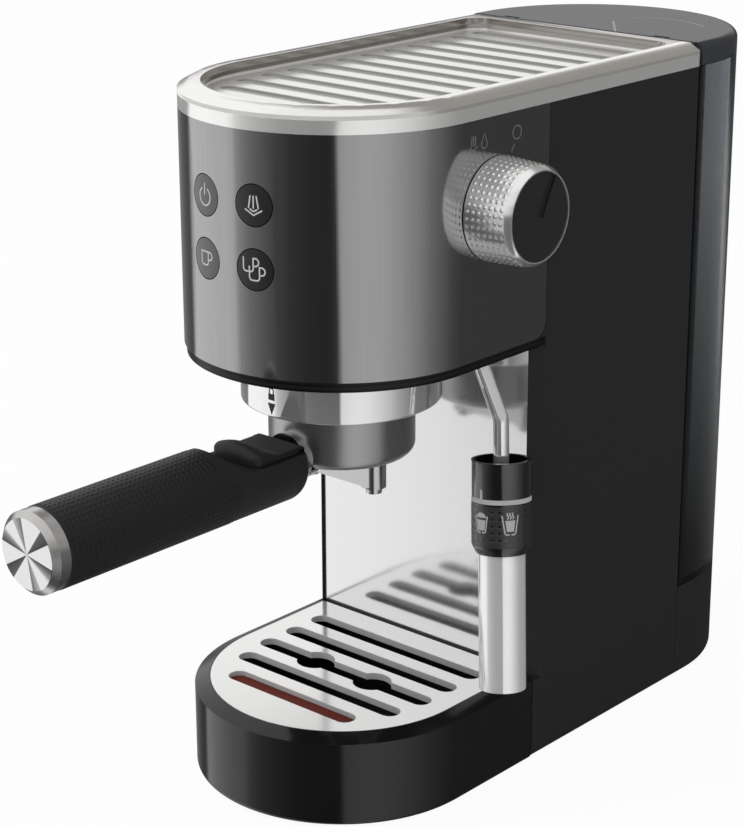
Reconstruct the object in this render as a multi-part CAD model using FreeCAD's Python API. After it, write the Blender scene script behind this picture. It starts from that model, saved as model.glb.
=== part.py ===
"""Compact pump espresso machine: every piece as its own solid, in millimetres, +Z up."""
import FreeCAD
import Part
import math
import os

V = FreeCAD.Vector
X_AXIS = V(1, 0, 0)
Y_AXIS = V(0, 1, 0)
Z_AXIS = V(0, 0, 1)

# Driving dimensions, measured from the brew axis at floor level; the front is -Y.
body_width = 130.0
tower_front_y = 50.6
cover_rear_y = 160.9
rear_arc_y = 171.5
foot_height = 1.5
base_thickness = 3.5
tongue_thickness = 2.0
foot_radius = 9.0
cover_wall = 2.5
tower_chamfer = 5.75
panel_set_back = 1.3
seam = 0.3
running_clearance = 0.05
over = 1.0

# Head: steel band, black underside and steel cup tray.
band_bottom_z = 195.0
band_top_z = 293.0
band_wall = 1.2
band_rear_y = 54.5
band_corner = 7.0
filler_share = 0.75
lip_depth = 4.2
lip_inset = 1.0
tray_rim_height = 9.9
tray_bevel_height = 2.8
tray_bevel_width = 5.3
recess_inset = 9.5
recess_depth = 5.3
recess_rear_gap = 6.4
recess_corner = 9.0
groove_count = 12
groove_pitch = 15.45
groove_first_y = -25.0
groove_width = 6.5
groove_depth = 0.8
groove_inset = 7.5

# Brew group and filter holder.
ring_radius = 42.2
ring_bottom_z = 169.5
ring_round = 1.0
ring_ledge = 3.5
ring_cavity_radius = 38.4
ring_hole_gap = 1.5
holder_radius = 31.0
holder_wall = 2.6
holder_bottom_z = 145.0
holder_top_z = 178.3
holder_floor = 4.0
holder_round = 4.5
lug_radius = 37.6
lug_height = 4.5
lug_half_angle = 17.0
notch_half_angle = 20.0
notch_clearance = 0.4
insert_angle = -45.0
basket_wall = 0.8
basket_gap = 1.2
basket_rim = 1.0
basket_floor_gap = 3.0
gasket_height = 4.7
screen_radius = 26.5
screen_height = 3.3
hub_flange_radius = 48.0
hub_flange_height = 6.0
thermoblock_radius = 38.0
thermoblock_share = 0.42
fin_shares = (0.3, 0.7)
fin_depth = 3.0
fin_half_height = 3.0

# Handle, clip and spout.
handle_z = 150.0
handle_radius = 16.5
handle_start_y = -34.6
handle_end_y = -165.0
handle_round = 6.0
cap_length = 7.3
cap_bevel = 2.5
neck_radius = 10.5
neck_reach_y = -24.0
bolt_radius = 2.0
bolt_set_back = 0.4
flat_height = 6.5
flat_end_y = -70.5
slope_end_y = -83.0
clip_thickness = 1.8
clip_half_width = 13.0
clip_pivot_y = -38.5
clip_rear_y = -65.0
clip_pivot_drop = 2.1
clip_barrel_radius = 2.0
clip_web = 1.6
clip_pin_radius = 1.0
clip_pin_reach = 2.0
thumb_rise = 5.4
thumb_half_width = 12.4
thumb_half_length = 7.2
spout_half_length = 20.0
spout_half_width = 5.5
spout_drop = 11.7
nozzle_offset = 17.9
nozzle_radius = 5.2
nozzle_drop = 1.0
nozzle_tip_radius = 3.4
nozzle_tip_height = 2.6
outlet_radius = 2.0

# Steam knob and wand.
knob_y = 20.7
knob_height_share = 0.6184
knob_base_radius = 21.3
knob_front_radius = 20.3
knob_gap = 0.4
knob_length = 21.6
knob_bevel = 2.2
knob_face_radius = 18.0
knob_face_sink = 0.4
pointer_width = 4.0
pointer_depth = 0.8
pointer_angle = 27.0
stem_radius = 3.0
knob_boss_radius = 6.9
valve_radius = 10.0
valve_length = 18.0
wand_pivot_inset = 7.5
wand_drop_offset = 3.84
wand_drop_z = 168.0
wand_lean = 9.0
wand_heading = 46.0
pipe_radius = 3.3
pipe_bend = 9.0
collar_radius = 12.4
collar_top_z = 151.7
collar_height = 16.9
froth_ring_height = 21.8
collar_line_height = 2.0
collar_wall = 1.6
collar_mouth = 9.0
sleeve_radius = 9.8
ring_lip = 1.0
sleeve_bottom_z = 55.0
steam_outlet_radius = 2.5
bush_wall = 1.0
bush_height = 10.0

# Buttons on the curved front.
button_angle = 11.7
button_radius = 8.2
button_gap = 0.4
button_upper_share = 0.7041
button_lower_share = 0.4439
button_depth = 8.0
carrier_wall = 2.7
carrier_half_angle = 24.0
carrier_margin = 12.5
board_gap = 5.8
board_thickness = 1.6
switch_size = 6.0
switch_height = 2.0

# Drip tray, grid and float.
tray_bottom_z = 1.0
tray_bevel_z = 38.8
grid_top_z = 41.65
grid_inset = 6.8
grid_thickness = 2.2
tray_wall = 3.0
tray_floor = 2.5
tray_round = 2.6
ledge_width = 2.9
ledge_height = 3.5
skirt_width = 10.0
tongue_inset = 15.0
slot_pitch = 16.7
slot_first_y = -33.6
slot_count = 5
slot_width = 9.3
slot_margin = 9.2
drain_offset = 16.6
drain_radius = 8.5
float_half_length = 33.0
float_half_width = 7.0
float_height = 23.5
float_rib = 8.5
float_gap = 0.4
float_top_z = 39.6

# Water tank and its seat.
rear_base_top_z = 47.0
tank_wall = 2.2
tank_floor = 2.6
tank_gap = 0.6
lid_wall = 2.4
lid_round = 4.0
hinge_radius = 1.9
hinge_pin_radius = 1.0
hinge_ear_inset = 23.0
hinge_ear_width = 8.0
valve_y = 190.0
tank_stub_radius = 7.2
tank_stub_length = 9.0
socket_wall = 4.0
hose_radius = 5.0
hose_z = 22.0

# Inner frame and works.
frame_wall = 2.2
frame_inset = 6.0
window_margin = 5.0
pump_y = 105.0
pump_radius = 18.0
pump_bottom_z = 14.0
pump_height = 80.0
pump_core_radius = 10.8
pump_stub_radius = 4.0
coil_rise = 24.0
coil_height = 36.0
pressure_hose_radius = 3.0
pressure_hose_z = 222.0
gland_radius = 7.0
gland_bore = 3.4
gland_flange_radius = 9.8
gland_z = 22.0
screw_radius = 1.65
screw_head_radius = 3.6
screw_inset = 7.5
control_half_length = 36.0
control_half_height = 40.0
control_post_inset = 8.0

# Sizes that follow from the driving dimensions.
body_radius = body_width / 2
base_top_z = foot_height + base_thickness
band_height = band_top_z - band_bottom_z
knob_z = band_bottom_z + band_height * knob_height_share
button_upper_z = band_bottom_z + band_height * button_upper_share
button_lower_z = band_bottom_z + band_height * button_lower_share
thermoblock_height = band_height * thermoblock_share
board_y = board_gap - (body_radius - button_depth) * math.cos(math.radians(button_angle))
collar_split_z = collar_top_z - collar_height
collar_bottom_z = collar_split_z - froth_ring_height
wand_pivot_x = body_radius - wand_pivot_inset
wand_drop_x = body_radius + wand_drop_offset
lean_out = math.sin(math.radians(wand_lean)) * math.sin(math.radians(wand_heading))
lean_forward = math.sin(math.radians(wand_lean)) * math.cos(math.radians(wand_heading))
lean_down = math.cos(math.radians(wand_lean))
wand_tip_x = wand_drop_x + (wand_drop_z - sleeve_bottom_z) * lean_out
wand_reach_x = wand_tip_x + sleeve_radius * math.sqrt(1 - lean_out ** 2)
hinge_ear_x = body_radius - hinge_ear_inset
basket_bottom_z = holder_bottom_z + holder_floor + basket_floor_gap
spout_bottom_z = holder_bottom_z - spout_drop
nozzle_bottom_z = spout_bottom_z - nozzle_drop
lip_bottom_z = band_bottom_z - lip_depth
tray_top_z = band_top_z + tray_rim_height
recess_floor_z = tray_top_z - recess_depth
knob_base_x = body_radius + knob_gap
knob_front_x = knob_base_x + knob_length
knob_face_x = knob_front_x - knob_face_sink
handle_tip_y = handle_end_y - cap_length
gasket_bottom_z = holder_top_z + basket_rim + seam
hub_bottom_z = gasket_bottom_z + gasket_height
panel_front_y = tower_front_y + panel_set_back
frame_front_y = panel_front_y + band_wall
frame_half = body_radius - frame_inset
back_front_y = cover_rear_y - frame_wall
tank_front_y = cover_rear_y + tank_gap
panel_half = body_radius - tower_chamfer
flange_top_z = band_bottom_z + seam + hub_flange_height

# The part's origin is at the middle of its overall footprint, on the floor.
FOOTPRINT_SHIFT = V(-(wand_reach_x - body_radius) / 2, -(handle_tip_y + rear_arc_y + body_radius) / 2, 0)


def save(name, *solids):
    """Write one node, moved from the brew axis to the part's own origin."""
    shape = solids[0] if len(solids) == 1 else Part.makeCompound(list(solids))
    shape = shape.copy()
    shape.translate(FOOTPRINT_SHIFT)
    shape.exportStep("parts/" + name + ".step")


def box(x0, x1, y0, y1, z0, z1):
    return Part.makeBox(x1 - x0, y1 - y0, z1 - z0, V(x0, y0, z0))


def rod(radius, start, end):
    """Round bar between two points."""
    path = V(*end) - V(*start)
    return Part.makeCylinder(radius, path.Length, V(*start), path)


def disc(radius, z0, z1, x=0.0, y=0.0):
    return rod(radius, (x, y, z0), (x, y, z1))


def ring(outer, inner, z0, z1, x=0.0, y=0.0):
    return disc(outer, z0, z1, x, y).cut(disc(inner, z0 - over, z1 + over, x, y))


def plate(points, direction):
    """Closed polygon swept straight along a direction."""
    wire = Part.makePolygon([V(*point) for point in points + points[:1]])
    return Part.Face(wire).extrude(direction)


def spun(points, centre, axis):
    """Closed polygon turned a full revolution about an axis."""
    wire = Part.makePolygon([V(*point) for point in points + points[:1]])
    return Part.Face(wire).revolve(V(*centre), axis, 360)


def front_outline(inset, rear_y, z, corner=0.0):
    """Half-round front with straight sides and a square or rounded rear."""
    r = body_radius - inset
    edges = [Part.Arc(V(-r, 0, z), V(0, -r, z), V(r, 0, z)).toShape()]
    edges.append(Part.makeLine(V(r, 0, z), V(r, rear_y - corner, z)))
    if corner > 0:
        bow = corner * (1 - math.sqrt(0.5))
        right_mid = V(r - bow, rear_y - bow, z)
        left_mid = V(bow - r, rear_y - bow, z)
        edges.append(Part.Arc(V(r, rear_y - corner, z), right_mid, V(r - corner, rear_y, z)).toShape())
        edges.append(Part.makeLine(V(r - corner, rear_y, z), V(corner - r, rear_y, z)))
        edges.append(Part.Arc(V(corner - r, rear_y, z), left_mid, V(-r, rear_y - corner, z)).toShape())
    else:
        edges.append(Part.makeLine(V(r, rear_y, z), V(-r, rear_y, z)))
    edges.append(Part.makeLine(V(-r, rear_y - corner, z), V(-r, 0, z)))
    return Part.Wire(edges)


def front_block(inset, rear_y, z0, z1, corner=0.0):
    return Part.Face(front_outline(inset, rear_y, z0, corner)).extrude(V(0, 0, z1 - z0))


def rear_block(inset, front_y, z0, z1):
    """Straight sides with a half-round rear."""
    r = body_radius - inset
    arc = Part.Arc(V(r, rear_arc_y, z0), V(0, rear_arc_y + r, z0), V(-r, rear_arc_y, z0)).toShape()
    left = Part.makeLine(V(-r, rear_arc_y, z0), V(-r, front_y, z0))
    front = Part.makeLine(V(-r, front_y, z0), V(r, front_y, z0))
    right = Part.makeLine(V(r, front_y, z0), V(r, rear_arc_y, z0))
    return Part.Face(Part.Wire([arc, left, front, right])).extrude(V(0, 0, z1 - z0))


def round_edges_at(shape, z, radius, flat_y):
    """Round the outer edges at height z, apart from the straight edge at flat_y."""
    chosen = []
    for edge in shape.Edges:
        bounds = edge.BoundBox
        level = abs(bounds.ZMin - z) < 1e-6 and abs(bounds.ZMax - z) < 1e-6
        on_flat = abs(bounds.YMin - flat_y) < 1e-6 and abs(bounds.YMax - flat_y) < 1e-6
        if level and not on_flat:
            chosen.append(edge)
    return shape.makeFillet(radius, chosen)


def sector(inner, outer, z0, z1, middle, half):
    """Part of a flat ring, centred on an angle about the brew axis."""
    wedge = Part.makeCylinder(outer, z1 - z0, V(0, 0, z0), Z_AXIS, 2 * half)
    wedge.rotate(V(), Z_AXIS, middle - half)
    return wedge.cut(disc(inner, z0 - over, z1 + over))


def slot(half_length, width, y, z0, z1):
    """Round-ended slot along X."""
    straight = half_length - width / 2
    bar = box(-straight, straight, y - width / 2, y + width / 2, z0, z1)
    return bar.fuse([disc(width / 2, z0, z1, -straight, y), disc(width / 2, z0, z1, straight, y)])


def bent_tube(points, bend, radius):
    """Tube along straight runs joined by tangent arcs."""
    corners = [V(*point) for point in points]
    edges = []
    start = corners[0]
    for before, here, after in zip(corners, corners[1:], corners[2:]):
        back = (before - here).normalize()
        ahead = (after - here).normalize()
        half = back.getAngle(ahead) / 2
        trim = bend / math.tan(half)
        middle = (back + ahead).normalize()
        centre = here + middle * (bend / math.sin(half))
        arc_start = here + back * trim
        arc_end = here + ahead * trim
        edges.append(Part.makeLine(start, arc_start))
        edges.append(Part.Arc(arc_start, centre - middle * bend, arc_end).toShape())
        start = arc_end
    edges.append(Part.makeLine(start, corners[-1]))
    circle = Part.makeCircle(radius, corners[0], corners[1] - corners[0])
    return Part.Wire(edges).makePipeShell([Part.Wire([circle])], True, False)


def mirrored(shape):
    return shape.mirror(V(), X_AXIS)


def base():
    """Bottom pan with the tongue under the drip tray, its feet and its screws."""
    pan = rear_block(0, tower_front_y + seam, foot_height, base_top_z)
    pan = round_edges_at(pan, foot_height, tray_round, tower_front_y + seam)
    tongue_top = foot_height + tongue_thickness
    tongue = front_block(tongue_inset, tower_front_y + tongue_inset, foot_height, tongue_top)
    rim_top = base_top_z + tray_round * 2
    rim_inset = cover_wall + seam
    rim = rear_block(rim_inset, frame_front_y, base_top_z, rim_top)
    rim = rim.cut(rear_block(rim_inset + frame_wall, frame_front_y - over, base_top_z, rim_top))
    rim = rim.cut(box(-body_radius, body_radius, 0, tower_front_y + tongue_inset, 0, rim_top))
    gap_end = tank_front_y + tank_floor + seam
    rim = rim.cut(box(-body_radius, body_radius, back_front_y - seam, gap_end, 0, rim_top))
    pan = pan.fuse([tongue, rim])
    feet = []
    for side in (-1, 1):
        for y in (-foot_radius * 2, rear_arc_y + foot_radius * 3):
            feet.append(disc(foot_radius, 0, foot_height, side * (body_radius - foot_radius * 3), y))
    screws = []
    head_top = foot_height + base_thickness / 2
    boss_top = base_top_z + screw_inset * 2
    for x, y in screw_places():
        pan = pan.cut(disc(screw_head_radius + seam, foot_height - over, head_top, x, y))
        pan = pan.cut(disc(screw_radius + seam, foot_height, base_top_z + over, x, y))
        head = disc(screw_head_radius, foot_height + seam, head_top, x, y)
        screws.append(head.fuse(disc(screw_radius, head_top, boss_top, x, y)))
    save("base_pan", pan.removeSplitter())
    save("feet", *feet)
    save("base_screws", *screws)


def screw_places():
    """The four places where the pan is screwed to the inner frame."""
    places = []
    for side in (-1, 1):
        for y in (frame_front_y + frame_wall + screw_inset, back_front_y - frame_wall - screw_inset):
            places.append((side * (frame_half - frame_wall - screw_inset), y))
    return places


def inner_frame():
    """Upright square tube that carries the works, with screw bosses and a head window."""
    top = band_top_z - tray_bevel_height
    rear = back_front_y - seam
    tube = box(-frame_half, frame_half, frame_front_y, rear, base_top_z, top)
    inside = frame_half - frame_wall
    tube = tube.cut(box(-inside, inside, frame_front_y + frame_wall, rear - frame_wall, 0, top + over))
    window = thermoblock_radius
    window_rear = frame_front_y + frame_wall + over
    window_top = top - window_margin
    tube = tube.cut(box(-window, window, frame_front_y - over, window_rear, flange_top_z, window_top))
    tube = tube.cut(rod(hose_radius + seam, (0, rear - frame_wall - over, hose_z), (0, rear + over, hose_z)))
    boss_top = base_top_z + screw_inset * 2
    for x, y in screw_places():
        outward = math.copysign(frame_half, x)
        reach = screw_inset / 2
        corner = box(min(x, outward), max(x, outward), y - reach, y + reach, base_top_z, boss_top)
        tube = tube.fuse(corner.fuse(disc(reach + screw_radius, base_top_z, boss_top, x, y)))
        tube = tube.cut(disc(screw_radius + running_clearance, base_top_z - over, boss_top + over, x, y))
    save("inner_frame", tube.removeSplitter())
    half = frame_half + cover_wall + seam
    back = box(-half, half, back_front_y, cover_rear_y, base_top_z, band_top_z - seam)
    hose_hole = rod(hose_radius + seam, (0, back_front_y - over, hose_z), (0, cover_rear_y + over, hose_z))
    save("tower_back", back.cut(hose_hole))


def band_corner_waste(gap):
    """What the band's rounded lower rear corners leave out on both sides."""
    y = band_rear_y + gap - band_corner
    z = band_bottom_z - gap + band_corner
    reach = body_radius + over
    block = box(-reach, reach, y, y + band_corner + over, z - band_corner - over, z)
    return block.cut(rod(band_corner, (-reach - over, y, z), (reach + over, y, z)))


def side_covers():
    """Two side covers: flat above, with an angled front edge beside the cup space."""
    outer = body_radius
    inner = body_radius - cover_wall
    bevel_y = tower_front_y + tower_chamfer
    slant = cover_wall * math.sqrt(2)
    return_y = tower_front_y + slant
    inner_y = return_y + tower_chamfer - cover_wall
    low_front = tower_front_y + seam
    low_back = low_front + cover_wall
    low = [(outer, cover_rear_y), (outer, low_front), (panel_half, low_front), (panel_half, low_back),
           (inner, low_back), (inner, cover_rear_y)]
    middle = [(outer, cover_rear_y), (outer, bevel_y), (panel_half, tower_front_y), (panel_half, return_y),
              (inner, inner_y), (inner, cover_rear_y)]
    start = tray_bevel_z
    cover = plate([(x, y, base_top_z) for x, y in low], V(0, 0, start - base_top_z))
    end = lip_bottom_z - seam
    cover = cover.fuse(plate([(x, y, start) for x, y in middle], V(0, 0, end - start)))
    cover = cover.fuse(box(inner, outer, band_rear_y + seam, cover_rear_y, end, band_top_z))
    filler_front = band_rear_y - filler_share * band_corner
    filler_top = band_bottom_z + band_corner
    filler = box(inner, outer, filler_front, band_rear_y + over, band_bottom_z, filler_top)
    cover = cover.fuse(filler.common(band_corner_waste(seam))).removeSplitter()
    save("right_side_cover", cover)
    save("left_side_cover", mirrored(cover))
    half = panel_half - seam
    panel = box(-half, half, panel_front_y, frame_front_y, grid_top_z + 2 * seam, lip_bottom_z - seam)
    save("mirror_panel", panel)


def button_places():
    """Button names with their angle from the front and their height."""
    return [
        ("power_button", -button_angle, button_upper_z),
        ("steam_button", button_angle, button_upper_z),
        ("one_cup_button", -button_angle, button_lower_z),
        ("two_cup_button", button_angle, button_lower_z),
    ]


def radial_rod(radius, near, far, angle, z):
    """Round bar pointing out of the curved front at an angle."""
    bar = rod(radius, (0, -near, z), (0, -far, z))
    bar.rotate(V(), Z_AXIS, angle)
    return bar


def head():
    """Steel band round the head, its black underside and the steel cup tray on top."""
    band = front_block(0, band_rear_y, band_bottom_z, band_top_z)
    band = band.cut(front_block(band_wall, band_rear_y + over, band_bottom_z - over, band_top_z + over))
    band = band.cut(band_corner_waste(0))
    for name, angle, z in button_places():
        band = band.cut(radial_rod(button_radius + button_gap, ring_radius, body_radius + over, angle, z))
    hole_radius = stem_radius + knob_gap
    shaft_hole = rod(hole_radius, (ring_radius, knob_y, knob_z), (body_radius + over, knob_y, knob_z))
    save("front_band", band.cut(shaft_hole))

    lip_rear = frame_front_y - seam
    lip = front_block(lip_inset, lip_rear, lip_bottom_z, band_bottom_z)
    upstand_inset = band_wall + seam
    upstand_rear = band_rear_y - band_corner
    upstand = front_block(upstand_inset, upstand_rear, band_bottom_z, band_bottom_z + lip_depth)
    upstand = upstand.cut(front_block(upstand_inset + band_wall, upstand_rear + over, 0, band_top_z))
    lip = lip.fuse(upstand).cut(disc(ring_cavity_radius, lip_bottom_z - over, band_bottom_z + over))
    pipe_hole = pipe_radius + bush_wall + seam
    save("head_underside", lip.cut(disc(pipe_hole, 0, band_top_z, wand_pivot_x, knob_y)).removeSplitter())

    bevel_z = tray_top_z - tray_bevel_height
    tray = front_block(0, cover_rear_y, band_top_z, bevel_z)
    low = front_outline(0, cover_rear_y, bevel_z)
    high = front_outline(tray_bevel_width, cover_rear_y, tray_top_z)
    tray = tray.fuse(Part.makeLoft([low, high], True, True))
    recess_rear = cover_rear_y - recess_rear_gap
    tray = tray.cut(front_block(recess_inset, recess_rear, recess_floor_z, tray_top_z + over, recess_corner))
    hollow_top = recess_floor_z - 2 * groove_depth
    tray = tray.cut(front_block(cover_wall, cover_rear_y - cover_wall, band_top_z - over, hollow_top))
    groove_radius = body_radius - recess_inset - groove_inset
    for index in range(groove_count):
        y = groove_first_y + index * groove_pitch
        half = math.sqrt(groove_radius ** 2 - min(y, 0.0) ** 2)
        tray = tray.cut(slot(half, groove_width, y, recess_floor_z - groove_depth, tray_top_z))
    save("cup_tray", tray.removeSplitter())


def buttons():
    """Four round push buttons, the carrier that guides them and the switch board behind."""
    inner = body_radius - button_depth
    carrier_outer = body_radius - band_wall - seam
    low = button_lower_z - carrier_margin
    high = button_upper_z + carrier_margin
    carrier = sector(carrier_outer - carrier_wall, carrier_outer, low, high, -90, carrier_half_angle)
    board_front = board_y - board_thickness
    post_x = (carrier_outer - carrier_wall) * math.sin(math.radians(carrier_half_angle)) - switch_size / 2
    post_y = -math.sqrt((carrier_outer - carrier_wall / 2) ** 2 - post_x ** 2)
    for x in (-post_x, post_x):
        for z in (low + switch_size / 2, high - switch_size / 2):
            carrier = carrier.fuse(rod(switch_size / 3, (x, post_y, z), (x, board_front, z)))
    half = post_x + switch_size / 2
    board = box(-half, half, board_front, board_y, low, high)
    skin = disc(body_radius, 0, band_top_z)
    for name, angle, z in button_places():
        hole = radial_rod(button_radius + button_gap, ring_radius, body_radius, angle, z)
        carrier = carrier.cut(hole)
        save(name, radial_rod(button_radius, inner, body_radius + over, angle, z).common(skin))
        x = inner * math.sin(math.radians(angle))
        half_switch = switch_size / 2
        switch = box(x - half_switch, x + half_switch, board_front - switch_height, board_y,
                     z - half_switch, z + half_switch)
        board = board.fuse(switch)
    save("button_carrier", carrier.removeSplitter())
    save("switch_board", board.removeSplitter())


def brew_group():
    """Locking ring, hub, gasket, shower screen and heater of the brew group."""
    rim = disc(ring_radius, ring_bottom_z, lip_bottom_z)
    rim = round_edges_at(rim, ring_bottom_z, ring_round, ring_radius * 2)
    ledge_top = ring_bottom_z + ring_ledge
    rim = rim.cut(disc(ring_cavity_radius, ledge_top, lip_bottom_z + over))
    rim = rim.cut(disc(holder_radius + ring_hole_gap, ring_bottom_z - over, ledge_top + over))
    for middle in (insert_angle, insert_angle + 180):
        notch = sector(holder_radius, lug_radius + notch_clearance, ring_bottom_z - over, ledge_top + over,
                       middle, notch_half_angle)
        rim = rim.cut(notch)
    save("group_ring", rim)
    hub_radius = ring_cavity_radius - seam
    hub = disc(hub_radius, hub_bottom_z, band_bottom_z + seam)
    hub = hub.fuse(disc(hub_flange_radius, band_bottom_z + seam, flange_top_z)).removeSplitter()
    screw_z = hub_bottom_z + gasket_height
    hub = hub.cut(disc(screw_radius + running_clearance, hub_bottom_z - over, screw_z + over))
    save("group_hub", hub)
    gasket_outer = lug_radius - seam
    save("group_gasket", ring(gasket_outer, screen_radius + seam, gasket_bottom_z, hub_bottom_z))
    screen_low = hub_bottom_z - screen_height
    screen = disc(screen_radius, screen_low, hub_bottom_z)
    screen_bore = screen_radius - basket_wall * 2
    screen = screen.cut(disc(screen_bore, screen_low + basket_wall, hub_bottom_z - basket_wall))
    save("shower_screen", screen.cut(disc(screw_radius + running_clearance, 0, band_top_z)))
    head_low = screen_low - basket_wall
    shank = disc(screw_radius, screen_low, screw_z)
    save("screen_screw", disc(screw_head_radius, head_low, screen_low).fuse(shank))
    block_top = flange_top_z + thermoblock_height
    heater = disc(thermoblock_radius, flange_top_z, block_top)
    for share in fin_shares:
        z = flange_top_z + thermoblock_height * share
        fin_root = thermoblock_radius - fin_depth
        fin_gap = ring(thermoblock_radius + over, fin_root, z - fin_half_height, z + fin_half_height)
        heater = heater.cut(fin_gap)
    save("thermoblock", heater)


def filter_holder():
    """Cup with locking lugs, its basket and the twin spout below."""
    r = holder_radius
    inner = r - holder_wall
    floor_z = holder_bottom_z + holder_floor
    cup = round_edges_at(disc(r, holder_bottom_z, holder_top_z), holder_bottom_z, holder_round, r * 2)
    lug_low = ring_bottom_z + ring_ledge + seam
    for middle in (0, 180):
        cup = cup.fuse(sector(inner, lug_radius, lug_low, lug_low + lug_height, middle, lug_half_angle))
    cup = cup.cut(disc(inner, floor_z, holder_top_z + over))
    cup = cup.cut(disc(outlet_radius * 2, holder_bottom_z - over, floor_z + over))
    save("filter_holder", cup.removeSplitter())
    wall_outer = inner - basket_gap
    low = basket_bottom_z
    rim_top = holder_top_z + basket_rim
    basket = disc(wall_outer, low, rim_top).fuse(disc(r, holder_top_z, rim_top))
    basket = basket.cut(disc(wall_outer - basket_wall, low + basket_wall, rim_top + over))
    save("filter_basket", basket.removeSplitter())
    bar = box(-spout_half_length, spout_half_length, -spout_half_width, spout_half_width,
              spout_bottom_z, holder_bottom_z)
    for side in (-1, 1):
        x = side * nozzle_offset
        bar = bar.fuse(disc(nozzle_radius, nozzle_bottom_z, holder_bottom_z, x, 0))
        bar = bar.fuse(disc(nozzle_tip_radius, nozzle_bottom_z - nozzle_tip_height, nozzle_bottom_z, x, 0))
        bar = bar.cut(disc(outlet_radius, 0, spout_bottom_z + holder_floor, x, 0))
    save("spout", bar.removeSplitter())


def handle():
    """Neck, through bolt, grip with a flat for the clip, and polished end cap."""
    z = handle_z
    neck = rod(neck_radius, (0, neck_reach_y, z), (0, handle_start_y + seam, z))
    neck = neck.cut(disc(holder_radius, holder_bottom_z, band_top_z))
    bolt_start = -holder_radius - bolt_set_back
    bolt_end = handle_end_y + cap_length
    neck = neck.cut(rod(bolt_radius + running_clearance, (0, bolt_start, z), (0, handle_end_y, z)))
    save("handle_neck", neck)
    save("handle_bolt", rod(bolt_radius, (0, bolt_start, z), (0, bolt_end, z)))
    grip = rod(handle_radius, (0, handle_start_y, z), (0, handle_end_y, z))
    inner_edge = [e for e in grip.Edges if abs(e.BoundBox.YMin - handle_start_y) < 1e-6]
    grip = grip.makeFillet(handle_round, inner_edge)
    flat_z = z + flat_height
    top = z + handle_radius + over
    side = handle_radius + over
    waste = [(-side, handle_start_y + over, flat_z), (-side, flat_end_y, flat_z), (-side, slope_end_y, top),
             (-side, handle_start_y + over, top)]
    grip = grip.cut(plate(waste, V(2 * side, 0, 0)))
    pivot_z = flat_z - clip_pivot_drop
    room = clip_barrel_radius + 2 * seam
    pocket_half = clip_half_width + seam
    pocket_rear = clip_pivot_y - room - seam
    pocket = box(-pocket_half, pocket_half, pocket_rear, handle_start_y + over, pivot_z - room, top)
    grip = grip.cut(pocket)
    pin_half = clip_half_width + clip_pin_reach
    pin_ends = ((-pin_half, clip_pivot_y, pivot_z), (pin_half, clip_pivot_y, pivot_z))
    grip = grip.cut(rod(clip_pin_radius + running_clearance, *pin_ends))
    grip = grip.cut(rod(bolt_radius + running_clearance, (0, 0, z), (0, bolt_end, z)))
    save("handle_grip", grip)
    save("clip_pin", rod(clip_pin_radius, *pin_ends))
    tip = handle_tip_y
    profile = [(0, handle_end_y, z), (handle_radius, handle_end_y, z), (handle_radius, tip + cap_bevel, z),
               (handle_radius - cap_bevel, tip, z), (0, tip, z)]
    save("handle_end_cap", spun(profile, (0, 0, z), Y_AXIS))
    filter_clip(flat_z, pivot_z, pin_ends)


def bow_radius(half, rise):
    """Radius of the arc that rises so much over a chord of twice the half length."""
    return (half ** 2 + rise ** 2) / (2 * rise)


def filter_clip(flat_z, pivot_z, pin_ends):
    """Thumb clip on the handle: a flat leaf, a domed thumb pad and a barrel on the pin."""
    low = flat_z + seam
    high = low + clip_thickness
    front = clip_pivot_y + clip_barrel_radius - seam
    half = clip_half_width
    clip = box(-half, half, clip_rear_y, front, low, high)
    crest = high + thumb_rise
    middle = clip_rear_y + thumb_half_length + seam
    along = bow_radius(thumb_half_length, thumb_rise)
    across = bow_radius(thumb_half_width, thumb_rise)
    vault = rod(along, (-half, middle, crest - along), (half, middle, crest - along))
    far = middle + thumb_half_width
    vault = vault.common(rod(across, (0, middle - half, crest - across), (0, far, crest - across)))
    clip = clip.fuse(vault.common(box(-half, half, clip_rear_y, far, high, crest + over)))
    barrel = rod(clip_barrel_radius, (-half, clip_pivot_y, pivot_z), (half, clip_pivot_y, pivot_z))
    web = box(-half, half, clip_pivot_y - clip_web, clip_pivot_y + clip_web, pivot_z, high)
    clip = clip.fuse([barrel, web])
    save("filter_clip", clip.cut(rod(clip_pin_radius + running_clearance, *pin_ends)).removeSplitter())


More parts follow.
